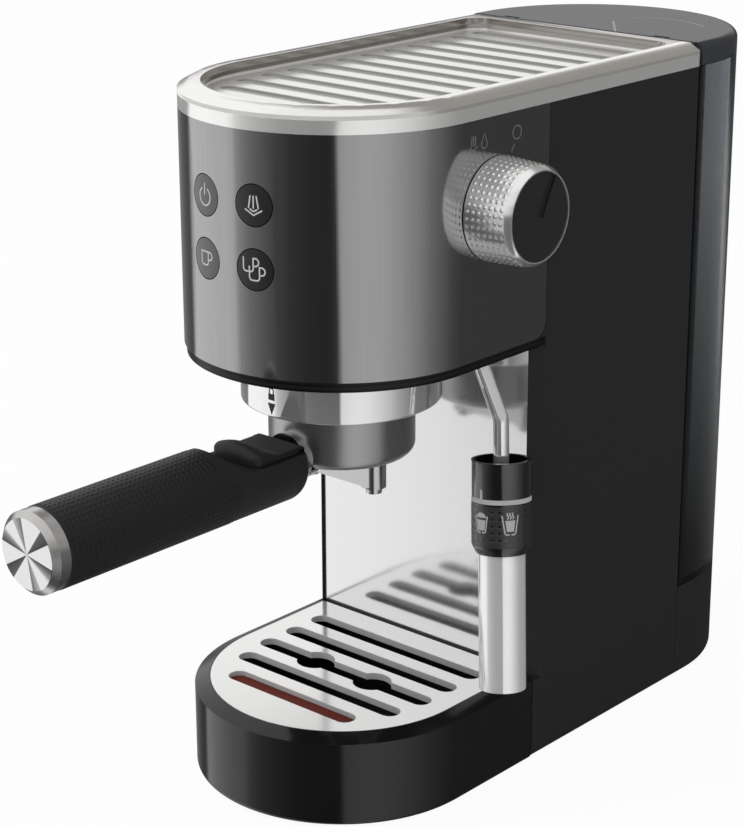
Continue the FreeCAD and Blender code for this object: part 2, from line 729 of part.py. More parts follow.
def steam_knob():
    """Tapered steel ring, black face with a pointer groove, stem and valve."""
    bevel_x = knob_front_x - knob_bevel
    bore = knob_face_radius + running_clearance
    profile = [(knob_base_x, bore, 0), (knob_base_x, knob_base_radius, 0), (bevel_x, knob_front_radius, 0),
               (knob_front_x, bore + (knob_front_radius - bore) / 4, 0), (knob_front_x, bore, 0)]
    shell = spun(profile, (0, 0, 0), X_AXIS)
    shell.translate(V(0, knob_y, knob_z))
    save("knob_ring", shell)
    core_x = knob_base_x + knob_length / 2
    face = rod(knob_face_radius, (core_x, knob_y, knob_z), (knob_face_x, knob_y, knob_z))
    face = face.fuse(rod(knob_boss_radius, (knob_base_x, knob_y, knob_z), (core_x, knob_y, knob_z)))
    stem_end = knob_face_x - knob_length / 4
    valve_end = body_radius - cover_wall - seam
    stem_start = valve_end - valve_length / 2
    face = face.cut(rod(stem_radius, (stem_start, knob_y, knob_z), (stem_end, knob_y, knob_z)))
    half = pointer_width / 2
    groove = box(knob_face_x - pointer_depth, knob_face_x + over, knob_y - half, knob_y + half,
                 knob_z, knob_z + knob_base_radius)
    groove.rotate(V(0, knob_y, knob_z), X_AXIS, -pointer_angle)
    save("knob_face", face.cut(groove).removeSplitter())
    save("knob_stem", rod(stem_radius, (stem_start, knob_y, knob_z), (stem_end, knob_y, knob_z)))

    valve_start = valve_end - valve_length
    valve = rod(valve_radius, (valve_start, knob_y, knob_z), (valve_end, knob_y, knob_z))
    bush_top = band_bottom_z + seam + bush_height
    valve = valve.fuse(disc(pipe_radius, bush_top, knob_z, wand_pivot_x, knob_y))
    bore_radius = stem_radius + running_clearance
    bore = rod(bore_radius, (stem_start - over, knob_y, knob_z), (valve_end + over, knob_y, knob_z))
    save("steam_valve", valve.cut(bore))
    feed_x = valve_start - valve_radius
    feed_low = flange_top_z + thermoblock_height
    feed = [(feed_x, knob_y, feed_low), (feed_x, knob_y, knob_z), (valve_start, knob_y, knob_z)]
    save("steam_pipe", bent_tube(feed, pressure_hose_radius * 2, pressure_hose_radius))


def steam_wand():
    """Swivelling steam pipe with its bush, collar, setting ring and froth sleeve."""
    bush_low = band_bottom_z
    bush_top = band_bottom_z + seam + bush_height
    bore = pipe_radius + running_clearance
    bush = ring(bore + bush_wall, bore, bush_low, bush_top, wand_pivot_x, knob_y)
    save("wand_bush", bush)
    route = [(wand_pivot_x, knob_y, bush_top - seam), (wand_pivot_x, knob_y, lip_bottom_z - seam),
             (wand_drop_x, knob_y, wand_drop_z), (wand_drop_x, knob_y, collar_bottom_z)]
    upper = bent_tube(route[:3] + [leaned(route[3])], pipe_bend, pipe_radius)
    save("wand_pipe", upper)
    x = wand_drop_x
    line_low = collar_split_z
    line_high = line_low + collar_line_height
    collar = ring(collar_radius, bore, line_high, collar_top_z, x, knob_y)
    mouth_low = collar_top_z - collar_mouth
    collar = collar.cut(disc(collar_radius - collar_wall, mouth_low, collar_top_z + over, x, knob_y))
    line = ring(collar_radius, bore, line_low, line_high, x, knob_y)
    taper = [(pipe_radius + seam, 0, collar_bottom_z), (sleeve_radius + ring_lip, 0, collar_bottom_z),
             (collar_radius, 0, collar_bottom_z + pipe_radius), (collar_radius, 0, line_low - seam),
             (pipe_radius + seam, 0, line_low - seam)]
    turn = spun(taper, (0, 0, 0), Z_AXIS)
    turn.translate(V(x, knob_y, 0))
    sleeve = disc(sleeve_radius, sleeve_bottom_z, collar_bottom_z - seam, x, knob_y)
    outlet_top = collar_bottom_z - pipe_radius * 3
    pipe_seat = collar_bottom_z - pipe_radius * 2
    sleeve = sleeve.cut(disc(steam_outlet_radius, sleeve_bottom_z - over, outlet_top, x, knob_y))
    sleeve = sleeve.cut(disc(bore, pipe_seat, collar_top_z, x, knob_y))
    lean_axis = V(-lean_forward, -lean_out, 0)
    hanging = {"wand_collar": collar, "collar_line": line, "froth_ring": turn, "froth_sleeve": sleeve}
    for name, shape in hanging.items():
        shape.rotate(V(x, knob_y, wand_drop_z), lean_axis, wand_lean)
        save(name, shape)


def leaned(point):
    """A point of the hanging wand, leaned out to the right and forward about the lower bend."""
    drop = wand_drop_z - point[2]
    return (point[0] + drop * lean_out, point[1] - drop * lean_forward, wand_drop_z - drop * lean_down)


def drip_tray():
    """Drip tray that slides out, its steel grid and the red level float."""
    rear = tower_front_y - seam
    seat_z = grid_top_z - grid_thickness
    tray = front_block(0, rear, tray_bottom_z, tray_bevel_z)
    tray = round_edges_at(tray, tray_bottom_z, tray_round, rear)
    bevel = grid_inset - 2 * seam
    top = front_outline(bevel, rear, grid_top_z)
    tray = tray.fuse(Part.makeLoft([front_outline(0, rear, tray_bevel_z), top], True, True))
    under = foot_height + tongue_thickness + seam
    floor_z = under + tray_floor
    tray = tray.cut(front_block(skirt_width, rear + over, tray_bottom_z - over, under))
    tray = tray.cut(front_block(tray_wall, rear - tray_wall, floor_z, seat_z - ledge_height))
    ledge = grid_inset + ledge_width
    tray = tray.cut(front_block(ledge, rear - tray_wall, floor_z, seat_z + over))
    tray = tray.cut(front_block(grid_inset - seam, rear + over, seat_z, grid_top_z + over))
    guide = float_half_length + 2 * seam
    for side in (-1, 1):
        x0, x1 = sorted((side * guide, side * (guide + tray_wall)))
        post_top = floor_z + float_height
        post = box(x0, x1, slot_first_y - tray_wall, slot_first_y + tray_wall, floor_z, post_top)
        tray = tray.fuse(post)
    save("drip_tray", tray.removeSplitter())

    grid = front_block(grid_inset, rear - seam, seat_z, grid_top_z)
    reach = body_radius - grid_inset - slot_margin
    for index in range(slot_count):
        y = slot_first_y + index * slot_pitch
        half = math.sqrt(reach ** 2 - min(y, 0.0) ** 2)
        grid = grid.cut(slot(half, slot_width, y, seat_z - over, grid_top_z + over))
    drain_y = slot_first_y + (slot_count // 2) * slot_pitch
    for x in (-drain_offset, drain_offset):
        grid = grid.cut(disc(drain_radius, seat_z - over, grid_top_z + over, x, drain_y))
    save("drip_grid", grid)

    low = floor_z + seam
    body = box(-float_half_length, float_half_length, slot_first_y - float_half_width,
               slot_first_y + float_half_width, low, low + float_height)
    rib_reach = math.sqrt(reach ** 2 - slot_first_y ** 2) - float_gap
    rib = slot(rib_reach, float_rib, slot_first_y, low + float_height, float_top_z)
    save("tray_float", body.fuse(rib).removeSplitter())


def rear_base():
    """Black base under the tank, with the socket that the tank's valve drops into."""
    front = cover_rear_y + seam
    low = base_top_z
    deck = rear_block(0, front, low, rear_base_top_z)
    deck = deck.cut(rear_block(cover_wall, front + cover_wall, low - over, rear_base_top_z - cover_wall))
    socket_radius = tank_stub_radius + 2 * seam + socket_wall
    deck = deck.cut(disc(socket_radius + seam, low, rear_base_top_z + over, 0, valve_y))
    deck = deck.cut(rod(hose_radius + seam, (0, front - over, hose_z), (0, front + cover_wall + over, hose_z)))
    rear = rear_arc_y + body_radius
    deck = deck.cut(rod(gland_radius + seam, (0, rear - 3 * gland_radius, gland_z), (0, rear + over, gland_z)))
    save("rear_housing", deck)
    skin = disc(body_radius, 0, rear_base_top_z, 0, rear_arc_y)
    gland = rod(gland_radius, (0, rear - cover_wall * 2, gland_z), (0, rear + over, gland_z))
    gland = gland.cut(rod(gland_bore, (0, rear - cover_wall * 3, gland_z), (0, rear + over, gland_z)))
    flange = rod(gland_flange_radius, (0, rear - cover_wall * 3, gland_z), (0, rear - cover_wall * 2, gland_z))
    flange = flange.cut(rod(gland_bore, (0, rear - cover_wall * 4, gland_z), (0, rear, gland_z)))
    inside = disc(body_radius - cover_wall - seam, 0, rear_base_top_z, 0, rear_arc_y)
    save("cord_gland", gland.common(skin).fuse(flange.common(inside)).removeSplitter())

    stub_low = rear_base_top_z + seam - tank_stub_length
    socket = disc(socket_radius, stub_low - socket_wall, rear_base_top_z, 0, valve_y)
    flange_z = rear_base_top_z - cover_wall
    socket = socket.fuse(disc(socket_radius + socket_wall, flange_z - cover_wall, flange_z, 0, valve_y))
    socket = socket.cut(disc(tank_stub_radius + 2 * seam, stub_low - seam, rear_base_top_z + over, 0, valve_y))
    save("tank_socket", socket.removeSplitter())
    inlet_y = pump_y + pump_radius + hose_radius
    bend = hose_radius * 2
    route = [(0, inlet_y, hose_z), (0, valve_y, hose_z), (0, valve_y, stub_low - socket_wall)]
    save("inlet_hose", bent_tube(route, bend, hose_radius))


def water_tank():
    """Smoked tank behind the tower, its valve, hinge pin and hinged lid."""
    low = rear_base_top_z + seam
    tank = rear_block(0, tank_front_y, low, band_top_z)
    tank = tank.cut(rear_block(tank_wall, tank_front_y + tank_wall, low + tank_floor, band_top_z + over))
    stub_hole = tank_stub_radius + running_clearance
    tank = tank.cut(disc(stub_hole, low - over, low + tank_floor + over, 0, valve_y))
    hinge_y = tank_front_y + hinge_radius
    hinge_z = tray_top_z - hinge_radius
    pin_half = hinge_ear_x + hinge_ear_width
    for side in (-1, 1):
        x0 = side * hinge_ear_x - hinge_ear_width / 2
        ear_low = band_top_z - tank_floor
        ear = box(x0, x0 + hinge_ear_width, tank_front_y, hinge_y + hinge_radius, ear_low, hinge_z)
        knuckle = rod(hinge_radius, (x0, hinge_y, hinge_z), (x0 + hinge_ear_width, hinge_y, hinge_z))
        tank = tank.fuse(ear.fuse(knuckle))
    pin = rod(hinge_pin_radius, (-pin_half, hinge_y, hinge_z), (pin_half, hinge_y, hinge_z))
    pin_bore = rod(hinge_pin_radius + running_clearance, (-pin_half - seam, hinge_y, hinge_z),
                   (pin_half + seam, hinge_y, hinge_z))
    save("water_tank", tank.cut(pin_bore).removeSplitter())
    save("lid_pin", pin)
    flange_top = low + tank_floor + socket_wall
    valve = disc(tank_stub_radius, low - tank_stub_length, low + tank_floor, 0, valve_y)
    flange = disc(tank_stub_radius + socket_wall, low + tank_floor, flange_top, 0, valve_y)
    save("tank_valve", valve.fuse(flange))

    lid = rear_block(0, hinge_y, band_top_z + seam, tray_top_z)
    lid = round_edges_at(lid, tray_top_z, lid_round, hinge_y)
    lid = lid.cut(rear_block(lid_wall, hinge_y + hinge_radius * 2, band_top_z, tray_top_z - lid_wall))
    bar_half = body_radius - lid_round
    lid = lid.fuse(rod(hinge_radius, (-bar_half, hinge_y, hinge_z), (bar_half, hinge_y, hinge_z)))
    room = hinge_radius + 2 * seam
    for side in (-1, 1):
        x0 = side * hinge_ear_x - hinge_ear_width / 2 - seam
        x1 = x0 + hinge_ear_width + 2 * seam
        lid = lid.cut(box(x0, x1, tank_front_y - over, hinge_y + room, band_top_z, tray_top_z + over))
    save("tank_lid", lid.cut(pin_bore).removeSplitter())


def works():
    """Pump on its rubber cradle, pressure hose and control board in the tower."""
    top = pump_bottom_z + pump_height
    coil_low = pump_bottom_z + coil_rise
    coil_high = coil_low + coil_height
    pump = disc(pump_core_radius, pump_bottom_z, top, 0, pump_y)
    pump = pump.fuse(disc(pump_radius, coil_low, coil_high, 0, pump_y))
    inlet_end = pump_y + pump_radius + hose_radius
    pump = pump.fuse(rod(pump_stub_radius, (0, pump_y, hose_z), (0, inlet_end, hose_z)))
    save("pump", pump.removeSplitter())
    cradle = disc(pump_radius, base_top_z, pump_bottom_z + cover_wall, 0, pump_y)
    cradle = cradle.cut(disc(pump_core_radius, pump_bottom_z, top, 0, pump_y))
    save("pump_cradle", cradle)
    route = [(0, pump_y, top), (0, pump_y, pressure_hose_z), (0, thermoblock_radius, pressure_hose_z)]
    save("pressure_hose", bent_tube(route, pressure_hose_radius * 5, pressure_hose_radius))
    wall_x = frame_wall - frame_half
    board_x = wall_x + socket_wall
    middle_z = (grid_top_z + band_bottom_z) / 2
    half_length = control_half_length
    half_height = control_half_height
    board = box(board_x, board_x + board_thickness, pump_y - half_length, pump_y + half_length,
                middle_z - half_height, middle_z + half_height)
    post_y = half_length - control_post_inset
    post_z = half_height - control_post_inset
    for y in (pump_y - post_y, pump_y + post_y):
        for z in (middle_z - post_z, middle_z + post_z):
            board = board.fuse(rod(screw_head_radius, (wall_x, y, z), (board_x, y, z)))
    save("control_board", board.removeSplitter())


def main():
    os.makedirs("parts", exist_ok=True)
    base()
    inner_frame()
    side_covers()
    head()
    buttons()
    brew_group()
    filter_holder()
    handle()
    steam_knob()
    steam_wand()
    drip_tray()
    rear_base()
    water_tank()
    works()


main()
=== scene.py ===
"""Looks of a compact espresso machine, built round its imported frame, in metres with +Z up."""
import logging
import math
from collections.abc import Callable
from dataclasses import dataclass, field
from enum import Enum

import bmesh
import bpy
import numpy as np
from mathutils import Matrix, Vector


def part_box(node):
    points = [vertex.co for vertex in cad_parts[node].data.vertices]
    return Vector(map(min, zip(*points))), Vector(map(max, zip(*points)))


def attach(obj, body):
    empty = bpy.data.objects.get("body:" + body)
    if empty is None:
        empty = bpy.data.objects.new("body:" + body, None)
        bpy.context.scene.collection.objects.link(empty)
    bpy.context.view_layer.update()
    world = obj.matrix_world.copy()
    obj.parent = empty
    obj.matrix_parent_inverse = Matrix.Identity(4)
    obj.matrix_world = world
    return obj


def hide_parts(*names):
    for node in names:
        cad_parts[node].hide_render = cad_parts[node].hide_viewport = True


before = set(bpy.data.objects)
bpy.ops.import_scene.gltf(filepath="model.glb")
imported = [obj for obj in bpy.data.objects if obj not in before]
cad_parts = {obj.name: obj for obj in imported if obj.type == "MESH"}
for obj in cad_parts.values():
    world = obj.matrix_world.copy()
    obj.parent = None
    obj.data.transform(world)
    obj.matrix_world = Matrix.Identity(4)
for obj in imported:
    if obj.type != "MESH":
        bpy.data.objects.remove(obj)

LOG = logging.getLogger("espresso_machine")
MM = 0.001
RIGHT, BACK, UP = np.eye(3)
WELD_DISTANCE = 0.002 * MM
SPLIT_ANGLE = math.radians(28)
SHARP_ANGLE = math.radians(40)
CAP_ANGLES = np.radians([90.0, 65.0, 40.0, 18.0])
CUP_CORNER = 0.28
CUP_EAR = 0.29
CUP_EAR_OUT = 0.6
Colour = tuple[float, float, float]
Span = tuple[float, float]


class Body(Enum):
    """The moving bodies that new pieces ride on."""

    MACHINE = "machine"
    KNOB = "steam_knob"
    POWER = "power_key"
    STEAM = "steam_key"
    ONE_CUP = "one_cup_key"
    TWO_CUP = "two_cup_key"
    PORTAFILTER = "portafilter"
    CLIP = "clip"
    WAND = "steam_wand"
    SETTING_RING = "setting_ring"
    LID = "lid"
    GRID = "grid"


class Slot(Enum):
    """The record's material slots."""

    PRINT = "pale_grey"
    STEEL = "satin_steel"
    GRIP = "grip_black"
    GLOSS = "gloss_black"
    LID = "smoked_lid"


def operator(operation: str, first: bool = True) -> Callable[["Shade", "Shade | float"], "Shade"]:
    """A method that adds a Math node with the socket as its first or last operand."""
    return lambda shade, other: shade.math(operation, other, first=first)


class Shade:
    """A node socket that Python arithmetic extends with Math nodes."""

    def __init__(self, nodes: "NodeKit", socket: bpy.types.NodeSocket) -> None:
        """Wraps one output socket."""
        self.nodes = nodes
        self.socket = socket

    def math(self, operation: str, *values: "Shade | float", first: bool = True) -> "Shade":
        """Adds a Math node.

        Args:
            operation: the node's operation.
            values: the other operands.
            first: whether this socket is the first operand.

        Returns:
            The node's result.
        """
        operands = [self, *values] if first else [*values, self]
        return self.nodes.add("ShaderNodeMath", {"operation": operation}, dict(enumerate(operands)))

    __add__ = __radd__ = operator("ADD")
    __mul__ = __rmul__ = operator("MULTIPLY")
    __sub__ = operator("SUBTRACT")
    __rsub__ = operator("SUBTRACT", first=False)
    __truediv__ = operator("DIVIDE")


class NodeKit:
    """Adds nodes to the node tree of a material or world."""

    def __init__(self, owner: bpy.types.Material | bpy.types.World) -> None:
        """Empties the owner's tree."""
        owner.use_nodes = True
        self.tree = owner.node_tree
        self.tree.nodes.clear()

    def add(self, kind: str, settings: dict | None = None, inputs: dict | None = None,
            output: int | str = 0) -> Shade:
        """Adds one node.

        Args:
            kind: the node's type.
            settings: its properties.
            inputs: values or sockets by input name or index.
            output: the output to return.

        Returns:
            The chosen output socket.
        """
        node = self.tree.nodes.new(kind)
        for key, value in (settings or {}).items():
            setattr(node, key, value)
        for key, value in (inputs or {}).items():
            if isinstance(value, Shade):
                self.tree.links.new(value.socket, node.inputs[key])
            else:
                node.inputs[key].default_value = value
        return Shade(self, node.outputs[output] if node.outputs else None)

    def ramp(self, factor: Shade, stops: tuple[tuple[float, Colour | float], ...]) -> Shade:
        """Colour by a factor, between stops of a position and a colour or grey."""
        shade = self.add("ShaderNodeValToRGB", None, {"Fac": factor})
        elements = shade.socket.node.color_ramp.elements
        while len(elements) < len(stops):
            elements.new(1.0)
        for element, (position, colour) in zip(elements, stops):
            element.position = position
            element.color = (*(colour if isinstance(colour, tuple) else (colour,) * 3), 1.0)
        return shade

    def blend(self, factor: Shade, low: Shade, high: Shade) -> Shade:
        """Shader between two shaders."""
        return self.add("ShaderNodeMixShader", None, {0: factor, 1: low, 2: high})

    def axes(self, vector: Shade) -> tuple[Shade, Shade, Shade]:
        """The three components of a vector."""
        return tuple(self.add("ShaderNodeSeparateXYZ", None, {0: vector}, i) for i in range(3))

    def mix(self, factor: Shade, low: Shade | Colour, high: Shade | Colour) -> Shade:
        """Colour between two colours."""
        low, high = (value if isinstance(value, Shade) else (*value, 1.0) for value in (low, high))
        return self.add("ShaderNodeMix", {"data_type": "RGBA"}, {0: factor, 6: low, 7: high}, 2)

    def step(self, value: Shade, low: float, high: float, base: float = 0.0) -> Shade:
        """Smooth step from 0 at low to 1 at high, both counted from a base."""
        inputs = {"Value": value, "From Min": base + low, "From Max": base + high}
        return self.add("ShaderNodeMapRange", {"interpolation_type": "SMOOTHSTEP"}, inputs)


class Ground(NodeKit):
    """A finish's nodes, with the place on its piece and the grain there."""

    def __init__(self, owner: bpy.types.Material, scale: Colour) -> None:
        """Starts from object coordinates, with noise that is finer by a scale along each axis."""
        super().__init__(owner)
        place = self.add("ShaderNodeTexCoord", output="Object")
        self.x, self.y, self.z = self.axes(place)
        spread = self.add("ShaderNodeMapping", None, {"Vector": place, "Scale": scale})
        self.grain = self.add("ShaderNodeTexNoise", None, {"Vector": spread, "Scale": 1.0, "Detail": 2.0})

    def round_front(self, centre_x: float, centre_y: float) -> Shade:
        """Distance from the middle line of an outline with straight sides and a round front."""
        aside, ahead = self.x - centre_x, (self.y - centre_y).math("MINIMUM", 0.0)
        return (aside * aside + ahead * ahead).math("SQRT")


@dataclass(frozen=True)
class Finish:
    """A surface finish: a colour with fine grain in its tone, gloss and relief."""

    name: str
    colour: Colour
    roughness: float = 0.4
    metallic: float = 0.0
    specular: float = 0.5
    ior: float = 1.5
    coat: float = 0.0
    transmission: float = 0.0
    grain: Colour = (900.0,) * 3
    tone: float = 0.06
    gloss_swing: float = 0.06
    relief: float = 0.02
    grain_depth: float = 0.1 * MM
    coat_roughness: float = 0.05

    def material(self) -> bpy.types.Material:
        """Makes the material.

        Returns:
            A node material with a Principled shader.
        """
        material = bpy.data.materials.new(self.name)
        nodes = Ground(material, self.grain)
        inputs = {
            "Base Color": self.tint(nodes),
            "Roughness": self.rough(nodes),
            "Metallic": self.metal(nodes),
            "Specular IOR Level": self.specular,
            "IOR": self.ior,
            "Coat Weight": self.coat,
            "Coat Roughness": self.coat_roughness,
            "Transmission Weight": self.transmission,
        }
        if self.relief:
            inputs["Normal"] = self.normal(nodes)
        shader = nodes.add("ShaderNodeBsdfPrincipled", None, inputs)
        nodes.add("ShaderNodeOutputMaterial", None, {"Surface": shader})
        return material

    def normal(self, nodes: Ground) -> Shade:
        """Surface direction, roughened by the grain."""
        inputs = {"Strength": self.relief, "Distance": self.grain_depth, "Height": nodes.grain}
        return nodes.add("ShaderNodeBump", None, inputs)

    def tint(self, nodes: Ground) -> Shade:
        """Base colour: the colour, darker and lighter by the grain."""
        low = tuple(c * (1 - self.tone) for c in self.colour)
        high = tuple(min(1.0, c * (1 + self.tone)) for c in self.colour)
        return nodes.mix(nodes.grain, low, high)

    def rough(self, nodes: Ground) -> Shade:
        """Roughness, swung up and down by the grain."""
        return nodes.grain * (2 * self.gloss_swing) + (self.roughness - self.gloss_swing)

    def metal(self, nodes: Ground) -> Shade | float:
        """How metallic it is: the same all over."""
        return self.metallic


@dataclass(frozen=True)
class SlottedSteel(Finish):
    """Steel that is duller below a height, as in slots."""

    floor_z: float = 0.0
    groove_colour: Colour = (0.80,) * 3
    floor_step: Span = (-0.08 * MM, -0.02 * MM)

    def steel(self, nodes: Ground) -> Shade:
        """1 on the bare steel above the height, 0 below it."""
        return nodes.step(nodes.z, *self.floor_step, self.floor_z)

    def tint(self, nodes: Ground) -> Shade:
        """Steel colour on the bare steel, groove colour elsewhere."""
        steel = self.steel(nodes) * (nodes.grain * self.tone + (1 - self.tone))
        return nodes.mix(steel, self.groove_colour, self.colour)

    def metal(self, nodes: Ground) -> Shade:
        """Metallic on the bare steel only."""
        return self.steel(nodes) * self.metallic


@dataclass(frozen=True)
class PressedTray(SlottedSteel):
    """Steel tray with painted shade in its grooves and on soft shoulders beside them, painted shade on the well's inner
    wall, and a bevel that blends into the rim's wall.
    """

    # Colour of the painted shade in the grooves and on their shoulders.
    groove_colour: Colour = (0.40, 0.40, 0.39)
    floor_step: Span = (0.05 * MM, 0.15 * MM)
    centre_x: float = 0.0
    centre_y: float = 0.0
    bevel_z: float = 0.0
    groove_first: float = -25.0 * MM
    groove_pitch: float = 15.45 * MM
    groove_last: int = 11
    groove_reach: float = 48.0 * MM
    groove_width: float = 6.5 * MM
    # Width and softness of the painted shade beside each groove.
    shoulder_shade: float = 1.2 * MM
    shoulder_shade_soft: float = 0.3 * MM
    wall_radius: float = 55.5 * MM
    wall_shade_colour: Colour = (0.50, 0.47, 0.44)
    wall_shade_step: Span = (0.3 * MM, 0.6 * MM)
    rim_step: Span = (0.1 * MM, 0.4 * MM)
    blend: float = 1.6 * MM
    blend_slope: float = 1.9
    bevel_metallic: float = 0.95
    bevel_step: Span = (-0.02 * MM, 0.02 * MM)

    def steel(self, nodes: Ground) -> Shade:
        """0 in the grooves and on the shoulders of painted shade beside them, 1 on the bare steel."""
        along = nodes.y - (self.centre_y + self.groove_first)
        index = (along / self.groove_pitch).math("ROUND").math("MAXIMUM", 0.0).math("MINIMUM", self.groove_last)
        ahead = (index * self.groove_pitch + self.groove_first).math("MINIMUM", 0.0)
        half = (self.groove_reach ** 2 - ahead * ahead).math("SQRT")
        past = ((nodes.x - self.centre_x).math("ABSOLUTE") - half + self.groove_width / 2).math("MAXIMUM", 0.0)
        aside = along - index * self.groove_pitch
        distance = (past * past + aside * aside).math("SQRT")
        edge = self.groove_width / 2 + self.shoulder_shade
        return nodes.step(distance, -self.shoulder_shade_soft, 0.0, edge).math("MAXIMUM", super().steel(nodes))

    def tint(self, nodes: Ground) -> Shade:
        """Steel colour, painted shade in the grooves and on their shoulders, and painted shade on the wall round the
        floor.
        """
        reach = nodes.round_front(self.centre_x, self.centre_y)
        outside = nodes.step(reach, *self.rim_step, self.wall_radius)
        # Painted shade on the well's inner wall, from just above the floor and inside the rim.
        wall = nodes.step(nodes.z, *self.wall_shade_step, self.floor_z) * (1.0 - outside)
        return nodes.mix(wall, super().tint(nodes), self.wall_shade_colour)

    def metal(self, nodes: Ground) -> Shade:
        """Least in the grooves and most on the bevel and the rim above it."""
        bevel = nodes.step(nodes.z, *self.bevel_step, self.bevel_z - self.blend)
        return self.steel(nodes) * (bevel * (self.bevel_metallic - self.metallic) + self.metallic)

    def normal(self, nodes: Ground) -> Shade:
        """Leans the top of the rim's wall back, as the bevel above it."""
        rise = (nodes.z - (self.bevel_z - self.blend)).math("MAXIMUM", 0.0).math("MINIMUM", self.blend)
        inputs = {"Strength": 1.0, "Distance": 1.0, "Height": rise * -self.blend_slope}
        return nodes.add("ShaderNodeBump", None, inputs)


@dataclass(frozen=True)
class LipWithPaintedHighlights(Finish):
    """Black lip with two painted highlight bands, by height above its lower edge."""

    low_z: float = 0.0
    bands: tuple[Span, ...] = ((0.9 * MM, 2.4 * MM), (2.95 * MM, 3.75 * MM))
    highlight_colour: Colour = (0.012,) * 3
    soft: float = 0.12 * MM

    def tint(self, nodes: Ground) -> Shade:
        """Own colour, with the painted highlight colour between the bands' heights."""
        height = nodes.z - self.low_z
        edges = [[nodes.step(height, -self.soft, self.soft, edge) for edge in band] for band in self.bands]
        first, second = (low - high for low, high in edges)
        return nodes.mix(first + second, self.colour, self.highlight_colour)


@dataclass(frozen=True)
class DullInside(Finish):
    """Gloss outside and dull inside a round-fronted well with straight sides."""

    centre_x: float = 0.0
    centre_y: float = 0.0
    well_radius: float = 0.0
    well_top: float = 0.0
    dullness: float = 0.65
    well_step: Span = (0.0, 0.5 * MM)
    top_step: Span = (-0.3 * MM, 0.0)

    def rough(self, nodes: Ground) -> Shade:
        """Own roughness outside; rough within the well and under its top."""
        reach = nodes.round_front(self.centre_x, self.centre_y)
        outside = nodes.step(reach, *self.well_step, self.well_radius)
        over = nodes.step(nodes.z, *self.top_step, self.well_top)
        gloss = nodes.grain * (2 * self.gloss_swing) + self.roughness
        return (1.0 - outside.math("MAXIMUM", over)) * self.dullness + gloss


@dataclass(frozen=True)
class SmokedWall(Finish):
    """Smoked plastic with painted shade as dark front posts and a darker rear, and deeper in tone towards the floor."""

    centre_x: float = 0.0
    front_y: float = 0.0
    half_width: float = 0.0
    rear_shade_colour: Colour = (0.18, 0.193, 0.20)
    post_shade_colour: Colour = (0.03, 0.032, 0.034)
    low: Span = (54 * MM, 0.15)
    high: Span = (245 * MM, 1.0)
    side_step: Span = (-7 * MM, -3.2 * MM)
    post_step: Span = (4.4 * MM, 5.0 * MM)

    def tint(self, nodes: Ground) -> Shade:
        """Own colour on the flat sides, painted shade inwards of them on the rear and a painted shadow post in front.
        """
        across = (nodes.x - self.centre_x).math("ABSOLUTE")
        side = nodes.step(across, *self.side_step, self.half_width)
        (low_z, low_level), (high_z, high_level) = self.low, self.high
        level = nodes.add("ShaderNodeMapRange", None, {
            "Value": nodes.z, "From Min": low_z, "From Max": high_z, "To Min": low_level, "To Max": high_level})
        # Painted shade on the rear, inwards of the flat sides.
        shaded = nodes.mix(level, (0.0,) * 3, nodes.mix(side, self.rear_shade_colour, self.colour))
        # Painted shadow as a dark post at the tank's front.
        post = nodes.step(nodes.y, *self.post_step, self.front_y)
        return nodes.mix(post, self.post_shade_colour, shaded)


@dataclass(frozen=True)
class PittedFinish(Finish):
    """A dotted surface: the piece's own dot attribute changes its colour."""

    dot_colour: Colour = (0.0,) * 3

    def tint(self, nodes: Ground) -> Shade:
        """Own colour between the dots, dot colour on them."""
        dots = nodes.add("ShaderNodeAttribute", {"attribute_name": MeshKit.DOTS}, output="Fac")
        return nodes.mix(dots, self.colour, self.dot_colour)


@dataclass(frozen=True)
class SunburstPaintedRays(Finish):
    """Turned metal with painted highlight and shade rays standing in for its reflections, the same after half a turn,
    about an axis along Y.
    """

    centre_x: float = 0.0
    centre_z: float = 0.0
    face_y: float = 0.0
    face_step: Span = (0.05 * MM, 0.2 * MM)
    painted_rays: tuple[Span, ...] = (
        (0.0, 0.86), (0.165, 0.86), (0.17, 0.06), (0.295, 0.13), (0.30, 0.86), (0.55, 0.86), (0.557, 0.16), (0.66, 0.5),
        (0.67, 0.86), (0.80, 0.86), (0.85, 0.3), (0.942, 0.05), (0.947, 0.86), (1.0, 0.86))

    def tint(self, nodes: Ground) -> Shade:
        """Painted highlight and shade rays by the angle about the axis, on the end face only."""
        angle = (nodes.z - self.centre_z).math("ARCTAN2", nodes.x - self.centre_x)
        turn = (angle / math.pi).math("WRAP", 1.0, 0.0)
        face = nodes.step(nodes.y, *self.face_step, self.face_y)
        return nodes.mix(face, nodes.ramp(turn, self.painted_rays), self.colour)


